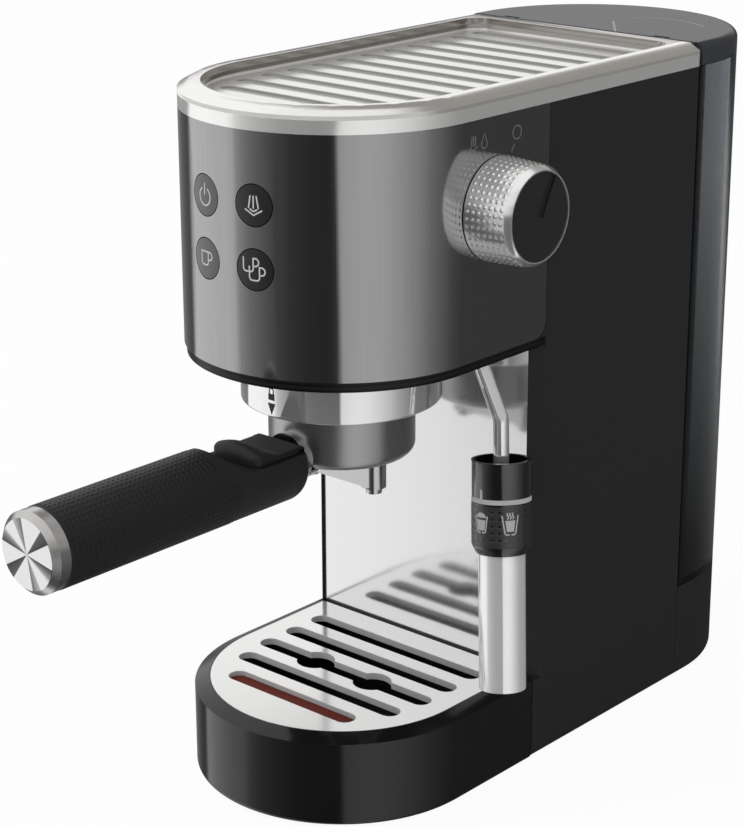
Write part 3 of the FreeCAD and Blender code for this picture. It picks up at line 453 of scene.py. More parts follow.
class MeshKit:
    """Gathers grid surfaces and makes one piece of them."""

    DOTS = "dots"

    def __init__(self) -> None:
        """Starts with no surface."""
        self.points: list[np.ndarray] = []
        self.quads: list[np.ndarray] = []
        self.values: list[np.ndarray] = []
        self.count = 0

    def grid(self, surface: np.ndarray, wrap_rows: bool = False, wrap_columns: bool = False,
             value: np.ndarray | None = None) -> None:
        """Adds a grid of points as quads.

        Args:
            surface: rows by columns by 3.
            wrap_rows: whether the last row joins the first.
            wrap_columns: whether the last column joins the first.
            value: the dot attribute on each point.
        """
        rows, columns = surface.shape[:2]
        index = np.arange(rows * columns).reshape(rows, columns) + self.count
        if wrap_rows:
            index = np.vstack([index, index[:1]])
        if wrap_columns:
            index = np.hstack([index, index[:, :1]])
        corners = [index[:-1, :-1], index[1:, :-1], index[1:, 1:], index[:-1, 1:]]
        self.quads.append(np.stack(corners, -1).reshape(-1, 4))
        self.points.append(surface.reshape(-1, 3))
        self.values.append(np.zeros(rows * columns) if value is None else value.reshape(-1))
        self.count += rows * columns

    def piece(self, name: str, body: Body, slot: Slot, material: bpy.types.Material,
              replaces: tuple[str, ...] = ()) -> None:
        """Makes the gathered surfaces one object that rides on a body.

        Args:
            name: the piece's name.
            body: the body that carries it.
            slot: not used.
            material: its material.
            replaces: CAD nodes that it stands for.
        """
        mesh = bpy.data.meshes.new(name)
        mesh.from_pydata(np.concatenate(self.points), [], np.concatenate(self.quads))
        dots = mesh.attributes.new(self.DOTS, "FLOAT", "POINT")
        dots.data.foreach_set("value", np.concatenate(self.values).astype(np.float32))
        shell = bmesh.new()
        shell.from_mesh(mesh)
        bmesh.ops.remove_doubles(shell, verts=shell.verts, dist=1e-7)
        bmesh.ops.recalc_face_normals(shell, faces=shell.faces)
        shell.to_mesh(mesh)
        shell.free()
        mesh.polygons.foreach_set("use_smooth", np.ones(len(mesh.polygons), bool))
        mesh.set_sharp_from_angle(angle=SHARP_ANGLE)
        mesh.materials.append(material)
        made = placed(name, mesh)
        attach(made, body.value)
        if replaces:
            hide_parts(*replaces)
        LOG.info("piece %s: %d points on %s", name, len(mesh.vertices), body.value)


@dataclass(frozen=True)
class RoundFace:
    """A round wall: u runs round it from its facing side, v along its axis, h out of it."""

    centre: np.ndarray
    axis: np.ndarray
    facing: np.ndarray
    radius: float

    def at(self, u: np.ndarray, v: np.ndarray, h: np.ndarray | float) -> np.ndarray:
        """Points centre + v axis + (radius + h)(cos t facing + sin t side), with t = u / radius."""
        turn = u / self.radius
        side = np.cross(self.axis, self.facing)
        out = np.cos(turn)[..., None] * self.facing + np.sin(turn)[..., None] * side
        reach = np.broadcast_to(self.radius + h, turn.shape)
        return self.centre + v[..., None] * self.axis + reach[..., None] * out


@dataclass(frozen=True)
class FlatFace:
    """A flat wall: u runs right, v up and h out of it."""

    origin: np.ndarray
    right: np.ndarray
    up: np.ndarray

    def at(self, u: np.ndarray, v: np.ndarray, h: np.ndarray | float) -> np.ndarray:
        """Points origin + u right + v up + h (right x up)."""
        out = np.cross(self.right, self.up)
        height = np.broadcast_to(h, u.shape)
        return self.origin + u[..., None] * self.right + v[..., None] * self.up + height[..., None] * out


Face = RoundFace | FlatFace


@dataclass(frozen=True)
class Marker:
    """Draws flat marks with a thin raised body on a face; sizes in millimetres."""

    face: Face
    width: float = 0.5
    rise: float = 0.06
    sink: float = 0.05
    kit: MeshKit = field(default_factory=MeshKit)

    def ribbon(self, left: np.ndarray, right: np.ndarray, closed: bool = False, across: int = 2) -> None:
        """Adds a strip between two edges: each row goes up the left side, over the top and down the right.

        Args:
            left: points (u, v) of the left edge.
            right: points of the right edge.
            closed: whether the strip joins its own start.
            across: points over its top.
        """
        share = np.linspace(0.0, 1.0, across)[None, :, None]
        top = left[:, None] * (1 - share) + right[:, None] * share
        flat = np.concatenate([left[:, None], top, right[:, None]], axis=1) * MM
        height = np.full(flat.shape[:2], self.rise * MM)
        height[:, 0] = height[:, -1] = -self.sink * MM
        self.kit.grid(self.face.at(flat[..., 0], flat[..., 1], height), wrap_rows=closed, wrap_columns=True)

    def panel(self, right: list[Span], across: int = 2) -> None:
        """Adds a strip that is the same on the left of u = 0 as on the right."""
        edge = np.array(right)
        self.ribbon(edge * (-1, 1), edge, across=across)

    def line(self, path: list[Span] | tuple[Span, ...] | np.ndarray, closed: bool = False) -> None:
        """Adds a stroke of even width along a path, with round ends where it is open.

        Args:
            path: points (u, v).
            closed: whether the path joins its own start.
        """
        points = np.asarray(path, float)
        half = np.full(len(points), self.width / 2)
        if closed:
            along = np.roll(points, -1, 0) - np.roll(points, 1, 0)
        else:
            along = np.gradient(points, axis=0)
        along /= np.linalg.norm(along, axis=1, keepdims=True)
        if not closed:
            reach = self.width / 2 * np.sin(CAP_ANGLES)[:, None]
            narrow = self.width / 2 * np.cos(CAP_ANGLES)
            start = points[0] - reach * along[0]
            end = points[-1] + reach[::-1] * along[-1]
            points = np.concatenate([start, points, end])
            along = np.pad(along, ((len(reach),) * 2, (0, 0)), mode="edge")
            half = np.concatenate([narrow, half, narrow[::-1]])
        across = np.stack([-along[:, 1], along[:, 0]], 1) * half[:, None]
        self.ribbon(points + across, points - across, closed)


def placed(name: str, data: bpy.types.ID) -> bpy.types.Object:
    """Makes an object of the data and links it to the scene."""
    made = bpy.data.objects.new(name, data)
    bpy.context.scene.collection.objects.link(made)
    return made


def off_nearest(value: np.ndarray, pitch: float) -> np.ndarray:
    """Signed distance from the nearest multiple of a pitch."""
    share = value / pitch
    return (share - np.round(share)) * pitch


def dot_field(along: np.ndarray, around: np.ndarray, radius: float) -> np.ndarray:
    """Dots by 1 - (d / radius)^2, with 0 outside them."""
    return np.clip(1 - (np.hypot(along, around) / radius) ** 2, 0, 1)


def arc(u: float, v: float, radius: float, start: float, end: float, count: int = 25) -> np.ndarray:
    """Points on a circle from one angle to another, in degrees from +u towards +v."""
    turn = np.radians(np.linspace(start, end, count))
    return np.stack([u + radius * np.cos(turn), v + radius * np.sin(turn)], 1)


def rounded(path: list[Span] | tuple[Span, ...], trim: float, count: int = 6) -> np.ndarray:
    """A path of straight runs with its inner corners rounded, from a trim length before each to one after."""
    points = np.asarray(path, float)
    share = np.linspace(0.0, 1.0, count)[:, None]
    runs = [points[:1]]
    for before, here, after in zip(points, points[1:], points[2:]):
        start = here + (before - here) * min(0.5, trim / np.linalg.norm(before - here))
        end = here + (after - here) * min(0.5, trim / np.linalg.norm(after - here))
        runs.append((1 - share) ** 2 * start + 2 * share * (1 - share) * here + share ** 2 * end)
    return np.concatenate([*runs, points[-1:]])


def cup_paths(u: float, v: float, width: float, height: float) -> list[np.ndarray]:
    """A cup's outline from its top left round its floor to its top right, and its handle's loop."""
    corner = width * CUP_CORNER
    wall = np.concatenate([
        [(u, v + height)],
        arc(u + corner, v + corner, corner, 180, 270, 8),
        arc(u + width - corner, v + corner, corner, 270, 360, 8),
        [(u + width, v + height)],
    ])
    loop = height * CUP_EAR
    ear = np.concatenate([
        [(u + width, v + height)],
        arc(u + width + loop * CUP_EAR_OUT, v + height - loop, loop, 90, -90, 12),
        [(u + width, v + height - 2 * loop)],
    ])
    return [wall, ear]


def centre_of(node: str) -> np.ndarray:
    """The middle of a CAD node's box."""
    low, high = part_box(node)
    return (np.array(low) + np.array(high)) / 2


def dress(finish: Finish, *nodes: str) -> None:
    """Gives CAD nodes a finish and smooth shading on their round faces.

    Args:
        finish: their finish.
        nodes: names of CAD nodes.
    """
    material = finish.material()
    for name in nodes:
        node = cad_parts[name]
        node.data.materials.clear()
        node.data.materials.append(material)
        node.data.polygons.foreach_set("use_smooth", np.ones(len(node.data.polygons), bool))
        weld = node.modifiers.new("weld", "WELD")
        weld.merge_threshold = WELD_DISTANCE
        split = node.modifiers.new("split", "EDGE_SPLIT")
        split.split_angle = SPLIT_ANGLE
        shade = node.modifiers.new("shade", "WEIGHTED_NORMAL")
        shade.keep_sharp = True
        LOG.info("dressed %s with %s", name, material.name)


SATIN_BLACK = Finish("satin_black_shell", (0.025, 0.025, 0.0255), roughness=0.5, specular=0.12, relief=0.03)
GLOSS_BLACK = Finish("gloss_black_shell", (0.008, 0.008, 0.0085), roughness=0.09, gloss_swing=0.03, relief=0.0)
BUTTON_GLOSS = Finish("button_gloss", (0.008, 0.008, 0.0085), roughness=0.10, specular=0.85, coat=0.4,
                      gloss_swing=0.03, relief=0.0)
KNOB_FACE = Finish("knob_face_black", (0.02,) * 3, roughness=0.3, specular=0.5)
DARK_STEEL = Finish("dark_brushed_steel", (0.39,) * 3, roughness=0.11, metallic=1.0, grain=(2600.0, 2600.0, 14.0),
                    tone=0.10, gloss_swing=0.05, relief=0.03)
MIRROR = Finish("mirror_steel", (0.92,) * 3, roughness=0.10, metallic=0.92, tone=0.01, gloss_swing=0.02, relief=0.0)
CHROME = Finish("chrome", (0.97,) * 3, roughness=0.06, metallic=0.8, tone=0.01, gloss_swing=0.02, relief=0.0)
CAST_CHROME = Finish("satin_chrome", (0.42,) * 3, roughness=0.30, metallic=0.93, tone=0.04)
SLEEVE_CHROME = Finish("sleeve_chrome", (0.98,) * 3, roughness=0.08, metallic=0.55, tone=0.01, gloss_swing=0.02,
                       relief=0.0)
PALE_CHROME = Finish("pale_chrome", (0.62,) * 3, roughness=0.18, metallic=1.0, tone=0.03)
GRIP_BLACK = Finish("grip_black", (0.016,) * 3, roughness=0.5, specular=0.3, grain=(1500.0,) * 3, relief=0.08)
RING_BLACK = Finish("collar_black", (0.004,) * 3, roughness=0.16, specular=1.0, coat=0.6)
PALE_PRINT = Finish("pale_print", (0.60, 0.60, 0.59), roughness=0.5, relief=0.0)
COLLAR_PRINT = Finish("collar_print", (0.46,) * 3, roughness=0.5, relief=0.0)
GREY_PRINT = Finish("grey_print", (0.17,) * 3, roughness=0.5, relief=0.0)
DARK_PRINT_AND_SHADE = Finish("dark_print_and_shade", (0.01,) * 3, roughness=0.5, relief=0.0)
SMOKED_LID = Finish("smoked_lid", (0.052, 0.054, 0.057), roughness=0.12, specular=0.5, ior=1.1,
                    transmission=0.08, relief=0.0)
LID_LINE = Finish("lid_line", (0.20, 0.205, 0.21), roughness=0.3, relief=0.0)
FLOAT_RED = Finish("float_red", (0.14, 0.022, 0.014), roughness=0.5, specular=0.1)
SLOT_EDGE = Finish("slot_edge", (0.58,) * 3, roughness=0.4, grain=(2500.0, 2500.0, 60.0), tone=0.10)
RUBBER = Finish("black_rubber", (0.02,) * 3, roughness=0.75, relief=0.1)
ALLOY = Finish("cast_alloy", (0.55, 0.55, 0.54), roughness=0.5, metallic=1.0, relief=0.15)
BRASS = Finish("brass", (0.72, 0.52, 0.25), roughness=0.35, metallic=1.0)
PLAIN_STEEL = Finish("plain_steel", (0.66, 0.66, 0.65), roughness=0.3, metallic=1.0)
BOARD = Finish("board_green", (0.03, 0.16, 0.07), roughness=0.45)
INNER = Finish("inner_plastic", (0.12, 0.12, 0.125), roughness=0.55, relief=0.05)


@dataclass
class Casing:
    """Covers, band, cup tray and the works inside, whose solids stay and get their finishes."""

    recess_depth: float = 5.3 * MM
    bevel_depth: float = 2.8 * MM

    def build(self) -> None:
        """Dresses the nodes of the machine's fixed body."""
        dress(SATIN_BLACK, "base_pan", "right_side_cover", "left_side_cover", "rear_housing", "tower_back",
              "cord_gland")
        # The lip's two paler bands are painted highlights.
        lip = LipWithPaintedHighlights("lip_black", (0.002,) * 3, roughness=0.3, specular=0.2, relief=0.0,
                       low_z=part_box("head_underside")[0].z)
        dress(lip, "head_underside")
        dress(DARK_STEEL, "front_band")
        top_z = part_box("cup_tray")[1].z
        axis = centre_of("group_ring")
        tray = PressedTray("cup_tray_steel", (0.97, 0.965, 0.95), roughness=0.15, metallic=0.66,
                           grain=(300.0, 5000.0, 5000.0), centre_x=axis[0], centre_y=axis[1],
                           floor_z=top_z - self.recess_depth, bevel_z=top_z - self.bevel_depth)
        dress(tray, "cup_tray")
        dress(MIRROR, "mirror_panel")
        dress(RUBBER, "feet", "group_gasket", "pump_cradle", "inlet_hose", "pressure_hose")
        dress(ALLOY, "group_hub", "thermoblock")
        dress(BRASS, "steam_valve")
        dress(PLAIN_STEEL, "base_screws", "shower_screen", "screen_screw", "steam_pipe")
        dress(BOARD, "switch_board", "control_board")
        dress(INNER, "inner_frame", "button_carrier", "pump", "tank_socket", "wand_bush")


@dataclass
class PushButtons:
    """Four gloss black buttons with pale pictograms; sizes in millimetres."""

    stroke: float = 0.6
    ring_radius: float = 3.6
    ring_gap: float = 32.0
    cup_width: float = 4.6
    cup_height: float = 5.4

    def build(self) -> None:
        """Dresses the buttons and draws their pictograms."""
        dress(BUTTON_GLOSS, *(name for name, body, paths in self.plan()))
        pale = PALE_PRINT.material()
        for name, body, paths in self.plan():
            marker = Marker(self.face(name), self.stroke)
            for path in paths:
                marker.line(path)
            marker.kit.piece(name.replace("button", "pictogram"), body, Slot.PRINT, pale)

    def face(self, name: str) -> RoundFace:
        """The round front at a button's middle."""
        low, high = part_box("front_band")
        radius = (high.x - low.x) / 2
        middle = centre_of(name)
        axis = centre_of("group_ring")
        out = np.array([middle[0] - axis[0], middle[1] - axis[1], 0.0])
        return RoundFace(np.array([axis[0], axis[1], middle[2]]), UP, out / np.linalg.norm(out), radius)

    def plan(self) -> list[tuple[str, Body, list[np.ndarray]]]:
        """Each button's node, its body and the paths of its pictogram."""
        r = self.ring_radius
        power = [arc(0, -0.5, r, 90 + self.ring_gap, 450 - self.ring_gap, 40), np.array([(0, 0.3), (0, 4.6)])]
        jets = [np.array([(1.4 * side, 3.6), (2.2 * side, -1.0)]) for side in (-1, 0, 1)]
        steam = jets + [np.array([(-1.5, -1.6), (0, -2.4), (1.5, -1.6)]),
                        np.array([(-3.7, -1.8), (0, -3.9), (3.7, -1.8)])]
        w, h = self.cup_width, self.cup_height
        rim = np.array([(-w / 2 - 1.0, h / 2), (w / 2 - 1.0, h / 2)])
        one = cup_paths(-w / 2 - 1.0, -h / 2, w, h) + [rim]
        two = cup_paths(-w - 0.6, -0.9, w, h) + cup_paths(-w / 2 - 0.1, -h + 1.1, w, h)
        return [("power_button", Body.POWER, power), ("steam_button", Body.STEAM, steam),
                ("one_cup_button", Body.ONE_CUP, one), ("two_cup_button", Body.TWO_CUP, two)]


@dataclass
class SteamKnob:
    """Steel knob with raised dots, its black face and the marks beside it; sizes in millimetres."""

    dots_round: int = 46
    dot_columns: int = 7
    dot_pitch: float = 2.65
    dot_radius: float = 0.75
    dot_rise: float = 0.35
    bevel: float = 2.2
    taper: float = 1.0
    samples: int = 8
    pointer_angle: float = 27.0
    pointer_depth: float = 0.8
    pointer_half: float = 1.85
    pointer_reach: float = 17.4
    off_mark: Span = (12.3, 28.7)
    drop_mark: Span = (-8.3, 28.4)
    steam_mark: Span = (-14.9, 28.4)
    ticks: tuple[tuple[Span, Span], ...] = (((10.6, 24.1), (9.1, 21.4)), ((-9.6, 24.3), (-8.3, 21.5)))

    def build(self) -> None:
        """Dresses the knob and adds its dotted ring, a strip of painted shade in its pointer groove and the marks."""
        dress(KNOB_FACE, "knob_face")
        dress(PLAIN_STEEL, "knob_stem", "knob_ring")
        self.ring()
        self.pointer()
        self.marks()

    @staticmethod
    def face(x: float) -> FlatFace:
        """A flat across the knob's axis."""
        return FlatFace(np.array([x, *centre_of("knob_ring")[1:]]), BACK, UP)

    def pointer(self) -> None:
        """Paints shade on the floor of the face's pointer groove as a darker strip."""
        turn = math.radians(self.pointer_angle)
        along = np.array([math.sin(turn), math.cos(turn)])
        across = np.array([-along[1], along[0]]) * self.pointer_half
        run = np.array([[0.3], [self.pointer_reach]]) * along
        marker = Marker(self.face(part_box("knob_face")[1].x - self.pointer_depth * MM))
        marker.ribbon(run + across, run - across)
        # The pointer strip is painted shade in the groove; the same material serves the printed lock sign.
        marker.kit.piece("knob_pointer_shade", Body.KNOB, Slot.GLOSS, DARK_PRINT_AND_SHADE.material())

    def ring(self) -> None:
        """Turns the ring's profile about X; its wall stands out by rise (1 - (d / radius)^2)^2 at each dot."""
        low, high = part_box("knob_ring")
        middle = centre_of("knob_ring")
        outer = (high.z - low.z) / 2 / MM
        bore = (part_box("knob_face")[1].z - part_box("knob_face")[0].z) / 2 / MM + 0.05
        length = (high.x - low.x) / MM
        wall_end = length - self.bevel
        wall_x = np.linspace(0.0, wall_end, self.dot_columns * self.samples + 1)
        wall_r = outer - self.taper * wall_x / wall_end
        lip_r = bore + (outer - self.taper - bore) / 4
        x = np.concatenate([[0.0], wall_x, [wall_end, length, length, 0.0]])
        r = np.concatenate([[bore], wall_r, [wall_r[-1], lip_r, bore, bore]])
        turn = np.linspace(0, 2 * math.pi, self.dots_round * self.samples, endpoint=False)
        step = 2 * math.pi / self.dots_round
        around = off_nearest(turn, step) * outer
        first = wall_end / 2 - self.dot_pitch * (self.dot_columns - 1) / 2
        column = np.clip(np.round((x - first) / self.dot_pitch), 0, self.dot_columns - 1)
        along = x - first - column * self.dot_pitch
        dots = dot_field(along[:, None], around, self.dot_radius) ** 2
        dots[[0, -3, -2, -1]] = 0.0
        reach = (r[:, None] + dots * self.dot_rise) * MM
        surface = np.stack([
            low.x + np.broadcast_to(x[:, None] * MM, reach.shape),
            middle[1] + reach * np.cos(turn),
            middle[2] + reach * np.sin(turn),
        ], -1)
        kit = MeshKit()
        kit.grid(surface, wrap_columns=True, value=dots)
        steel = PittedFinish("dotted_steel", (0.97, 0.965, 0.96), roughness=0.18, metallic=0.86, relief=0.12,
                             dot_colour=(0.97, 0.97, 0.96))
        kit.piece("knob_dotted_ring", Body.KNOB, Slot.STEEL, steel.material(), ("knob_ring",))

    def marks(self) -> None:
        """Prints the off ring, the drop, the steam sign and two ticks beside the knob."""
        marker = Marker(self.face(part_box("front_band")[1].x))
        marker.line(arc(*self.off_mark, 2.7, 0, 348, 30), closed=True)
        u, v = self.drop_mark
        drop = np.concatenate([[(u, v + 3.1)], arc(u, v - 1.1, 1.75, 20, -200, 20)])
        marker.line(drop, closed=True)
        u, v = self.steam_mark
        for side in (-1, 0, 1):
            marker.line([(u + 1.0 * side, v + 2.7), (u + 1.35 * side, v - 0.9)])
        marker.line([(u - 2.3, v - 1.4), (u, v - 2.9), (u + 2.3, v - 1.4)])
        for tick in self.ticks:
            marker.line(tick)
        marker.kit.piece("knob_marks", Body.MACHINE, Slot.PRINT, GREY_PRINT.material())


@dataclass
class Portafilter:
    """Locking ring, filter holder, dotted handle, end cap and thumb clip; sizes in millimetres."""

    dots_round: int = 44
    dot_pitch: float = 2.4
    dot_radius: float = 0.7
    dot_depth: float = 0.4
    skin: float = 0.2
    samples: int = 6
    sleeve_start: float = 49.4
    sleeve_end: float = 1.6
    slope_start: float = 40.4
    slope_sines: Span = (0.2, 0.5)
    lock_z: float = 6.6
    lock_stroke: float = 0.55
    rest_height: float = 5.4
    rest_crest: float = 4.5
    rest_slope: float = 12.0
    leaf: float = 1.8
    leaf_corner: float = 4.0
    leaf_columns: int = 33
    leaf_ends: Span = (26.0, 28.1)
    edge_start: float = 0.94
    edge_drop: float = 0.6
    barrel: float = 2.0
    web: float = 1.6

    def build(self) -> None:
        """Dresses the group and handle, and adds the sleeve, the thumb clip and the lock sign."""
        dress(CHROME, "group_ring")
        dress(CAST_CHROME, "filter_holder")
        dress(PALE_CHROME, "spout", "handle_neck")
        dress(PLAIN_STEEL, "filter_basket", "handle_bolt", "clip_pin")
        dress(GRIP_BLACK, "handle_grip", "filter_clip")
        middle = centre_of("handle_end_cap")
        # The end face's rays are painted highlights and shade.
        cap = SunburstPaintedRays("sunburst_steel_painted_rays", (0.62, 0.61, 0.60), roughness=0.24, metallic=1.0, centre_x=middle[0],
                       centre_z=middle[2], face_y=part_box("handle_end_cap")[0].y)
        dress(cap, "handle_end_cap")
        self.sleeve()
        self.thumb_clip()
        self.lock_sign()

    def thumb_clip(self) -> None:
        """Thin leaf with a thumb rest: h (1 - t^2 / 2) at t across, steep behind its crest and sloping before it."""
        low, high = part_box("filter_clip")
        middle, half = (low.x + high.x) / 2 / MM, (high.x - low.x) / 2 / MM
        leaf_top = high.z / MM - self.rest_height
        leaf_low = leaf_top - self.leaf
        pivot_y, pivot_z = high.y / MM - self.barrel, low.z / MM + self.barrel
        run = np.linspace(1.7, self.rest_crest + self.rest_slope, 40)
        s = np.concatenate([np.linspace(0, 1.5, 14), run, self.leaf_ends])
        steep = np.sqrt(np.clip(1 - (1 - s / self.rest_crest) ** 2, 0, 1))
        slope = 0.5 + 0.5 * np.cos(np.pi * np.clip((s - self.rest_crest) / self.rest_slope, 0, 1))
        hump = self.rest_height * np.where(s < self.rest_crest, steep, slope)
        corner = self.leaf_corner - np.clip(self.leaf_corner - s, 0, None)
        width = half - self.leaf_corner + np.sqrt(np.clip(corner * (2 * self.leaf_corner - corner), 0, None))
        t = np.linspace(-1, 1, self.leaf_columns)
        x = middle + width[:, None] * np.concatenate([t, [1.0, -1.0]])
        edge = self.edge_drop * np.interp(np.abs(t), (self.edge_start, 1), (0, 1)) ** 2
        z = np.full(x.shape, leaf_low)
        z[:, :len(t)] = leaf_top + hump[:, None] * (1 - t ** 2 / 2) - edge
        y = np.broadcast_to(low.y / MM + s[:, None], x.shape)
        kit = MeshKit()
        self.capped(kit, np.stack([x, y, z], -1))
        turn = np.linspace(0, 2 * math.pi, 24, endpoint=False)
        rod = np.stack([np.zeros(24), pivot_y + self.barrel * np.cos(turn), pivot_z + self.barrel * np.sin(turn)], -1)
        corners = ((-1, pivot_z), (1, pivot_z), (1, leaf_top - 0.2), (-1, leaf_top - 0.2))
        web = np.array([(0, pivot_y + side * self.web, z) for side, z in corners])
        for loop in (rod, web):
            self.capped(kit, np.stack([loop + (middle - half, 0, 0), loop + (middle + half, 0, 0)]))
        kit.piece("thumb_clip", Body.CLIP, Slot.GRIP, GRIP_BLACK.material(), ("filter_clip",))

    @staticmethod
    def capped(kit: MeshKit, rows: np.ndarray) -> None:
        """Adds rows of closed loops, in millimetres, with both ends closed to a point."""
        ends = [np.broadcast_to(rows[i].mean(0), rows[i].shape)[None] for i in (0, -1)]
        kit.grid(np.concatenate([ends[0], rows, ends[1]]) * MM, wrap_columns=True)

    def sleeve(self) -> None:
        """Wraps a dotted skin round the grip: radius + skin - depth (1 - (d / radius)^2) at each dot."""
        low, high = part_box("handle_grip")
        middle = centre_of("handle_end_cap")
        radius = (high.x - low.x) / 2
        rear = low.y + self.sleeve_end * MM
        turn = np.linspace(-math.pi, math.pi, self.dots_round * self.samples, endpoint=False)
        upper = np.interp(np.sin(turn), self.slope_sines, (0, 1))
        front = high.y - (self.slope_start + (self.sleeve_start - self.slope_start) * upper) * MM
        rows = int(round((front.max() - rear) / (self.dot_pitch * MM))) * self.samples + 1
        share = np.linspace(0, 1, rows)[:, None]
        y = rear + (front[None, :] - rear) * share
        step = 2 * math.pi / self.dots_round
        around = off_nearest(turn, step) * radius / MM
        row = (y - rear) / (self.dot_pitch * MM) + 0.5
        along = (row - np.round(row)) * self.dot_pitch
        dots = dot_field(along, around, self.dot_radius)
        dots[0] = dots[-1] = 0.0
        reach = radius + (self.skin - self.dot_depth * dots) * MM
        reach[0] = reach[-1] = radius - self.skin * MM
        surface = np.stack([middle[0] + reach * np.cos(turn), y, middle[2] + reach * np.sin(turn)], -1)
        kit = MeshKit()
        kit.grid(surface, wrap_columns=True, value=dots)
        # The darker dot colour is painted shade in the sunk dots.
        skin = PittedFinish("dotted_grip", (0.014,) * 3, roughness=0.42, specular=0.3, dot_colour=(0.001,) * 3)
        kit.piece("grip_sleeve", Body.PORTAFILTER, Slot.GRIP, skin.material())

    def lock_sign(self) -> None:
        """Prints a padlock over an arrow on the front of the locking ring."""
        low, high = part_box("group_ring")
        middle = centre_of("group_ring")
        face = RoundFace(np.array([middle[0], middle[1], low.z]), UP, -BACK, (high.x - low.x) / 2)
        z = self.lock_z
        marker = Marker(face, self.lock_stroke)
        marker.panel([(1.7, z + 3.6), (1.7, z + 0.9)])
        marker.line(np.concatenate([[(-1.1, z + 3.6)], arc(0, z + 4.9, 1.1, 180, 0, 12), [(1.1, z + 3.6)]]))
        marker.panel([(2.1, z - 0.4), (0.02, z - 5.3)])
        marker.kit.piece("lock_sign", Body.MACHINE, Slot.GLOSS, DARK_PRINT_AND_SHADE.material())


@dataclass
class SteamWand:
    """Chrome pipe and sleeve, black collar and dotted setting ring; sizes in millimetres."""

    facing_angle: float = 41.0
    dots_round: int = 26
    dot_pitch: float = 2.89
    dot_rows: int = 5
    dot_radius: float = 0.72
    dot_depth: float = 0.35
    skin: float = 0.12
    samples: int = 6
    foam_angle: float = -43.6
    steam_angle: float = 14.0
    icon_clear: float = 18.0
    line_height: float = 2.0
    skin_top: float = -1.7
    skin_bottom: float = -19.2
    skin_bands: int = 14
    first_row: float = -4.2
    stroke: float = 0.55
    tick_stroke: float = 1.2

    def build(self) -> None:
        """Dresses the wand and adds its dots and pictograms."""
        dress(CHROME, "wand_pipe")
        dress(SLEEVE_CHROME, "froth_sleeve")
        dress(RING_BLACK, "wand_collar", "froth_ring")
        dress(COLLAR_PRINT, "collar_line")
        self.dotted_ring()
        self.pictograms()

    def face(self, angle: float, extra: float = 0.0) -> RoundFace:
        """The collar's round wall, from the setting line down, turned to an angle from the facing side."""
        top = centre_of("collar_line")
        axis = top - centre_of("froth_sleeve")
        axis /= np.linalg.norm(axis)
        turn = math.radians(self.facing_angle + angle)
        out = np.array([math.sin(turn), -math.cos(turn), 0.0])
        out -= axis * (out @ axis)
        low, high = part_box("collar_line")
        width = high.y - low.y - self.line_height * MM * abs(axis[1])
        radius = width / 2 / math.sqrt(1 - axis[1] ** 2)
        return RoundFace(top, axis, out / np.linalg.norm(out), radius + extra * MM)

    def dotted_ring(self) -> None:
        """Wraps a skin round the setting ring, sunk at each dot, with no dots under the pictograms."""
        face = self.face(0.0)
        radius = face.radius / MM
        turn = np.linspace(-180, 180, self.dots_round * self.samples, endpoint=False)
        v = np.linspace(self.skin_top, self.skin_bottom, self.skin_bands * self.samples)
        step = 360 / self.dots_round
        place = turn / step - 0.5
        around = np.radians((place - np.round(place)) * step) * radius
        row = (self.first_row - v) / self.dot_pitch
        nearest = np.clip(np.round(row), 0, self.dot_rows - 1)
        along = (row - nearest) * self.dot_pitch
        dots = dot_field(along[:, None], around, self.dot_radius)
        icon = np.minimum(np.abs(turn - self.foam_angle), np.abs(turn - self.steam_angle)) < self.icon_clear
        dots[np.ix_(nearest < self.dot_rows - 1, icon)] = 0.0
        height = (self.skin - self.dot_depth * dots) * MM
        height[0] = height[-1] = -self.skin * MM
        u = np.broadcast_to(np.radians(turn) * face.radius, dots.shape)
        kit = MeshKit()
        kit.grid(face.at(u, np.broadcast_to(v[:, None] * MM, dots.shape), height), wrap_columns=True, value=dots)
        # The darker dot colour is painted shade in the sunk dots.
        skin = PittedFinish("dotted_collar", (0.016,) * 3, roughness=0.36, specular=1.0, dot_colour=(0.002,) * 3)
        kit.piece("setting_ring_skin", Body.SETTING_RING, Slot.GLOSS, skin.material())

    def pictograms(self) -> None:
        """Prints a foamed glass, a steaming glass and the setting tick."""
        pale = COLLAR_PRINT.material()
        foam = Marker(self.face(self.foam_angle, self.skin), self.stroke)
        foam.panel([(2.2, -7.5), (1.6, -11.8)], across=7)
        foam.line(rounded([(-3.0, -6.0), (-2.1, -12.7), (2.1, -12.7), (3.0, -6.0)], 0.8))
        dome = np.linspace(0, math.pi, 12)
        upper = np.stack([2.4 * np.cos(dome), -6.5 + 2.0 * np.sin(dome)], 1)
        foam.ribbon(upper, np.stack([upper[:, 0], np.full(12, -6.5)], 1))
        steam = Marker(self.face(self.steam_angle, self.skin), self.stroke, kit=foam.kit)
        steam.panel([(2.1, -7.3), (1.5, -11.9)], across=7)
        steam.line(rounded([(-3.4, -5.5), (-2.2, -13.2), (2.2, -13.2), (3.4, -5.5)], 0.9))
        wave = np.linspace(-6.6, -4.3, 10)
        for u in (-1.1, 0.0, 1.1):
            steam.line(np.stack([u + 0.25 * np.sin((wave + 6.6) * 2.6), wave], 1))
        foam.kit.piece("glass_pictograms", Body.SETTING_RING, Slot.PRINT, pale)
        tick = Marker(self.face(self.foam_angle), self.tick_stroke)
        tick.line([(0.0, 1.4), (0.0, 4.4)])
        tick.kit.piece("setting_tick", Body.WAND, Slot.PRINT, pale)


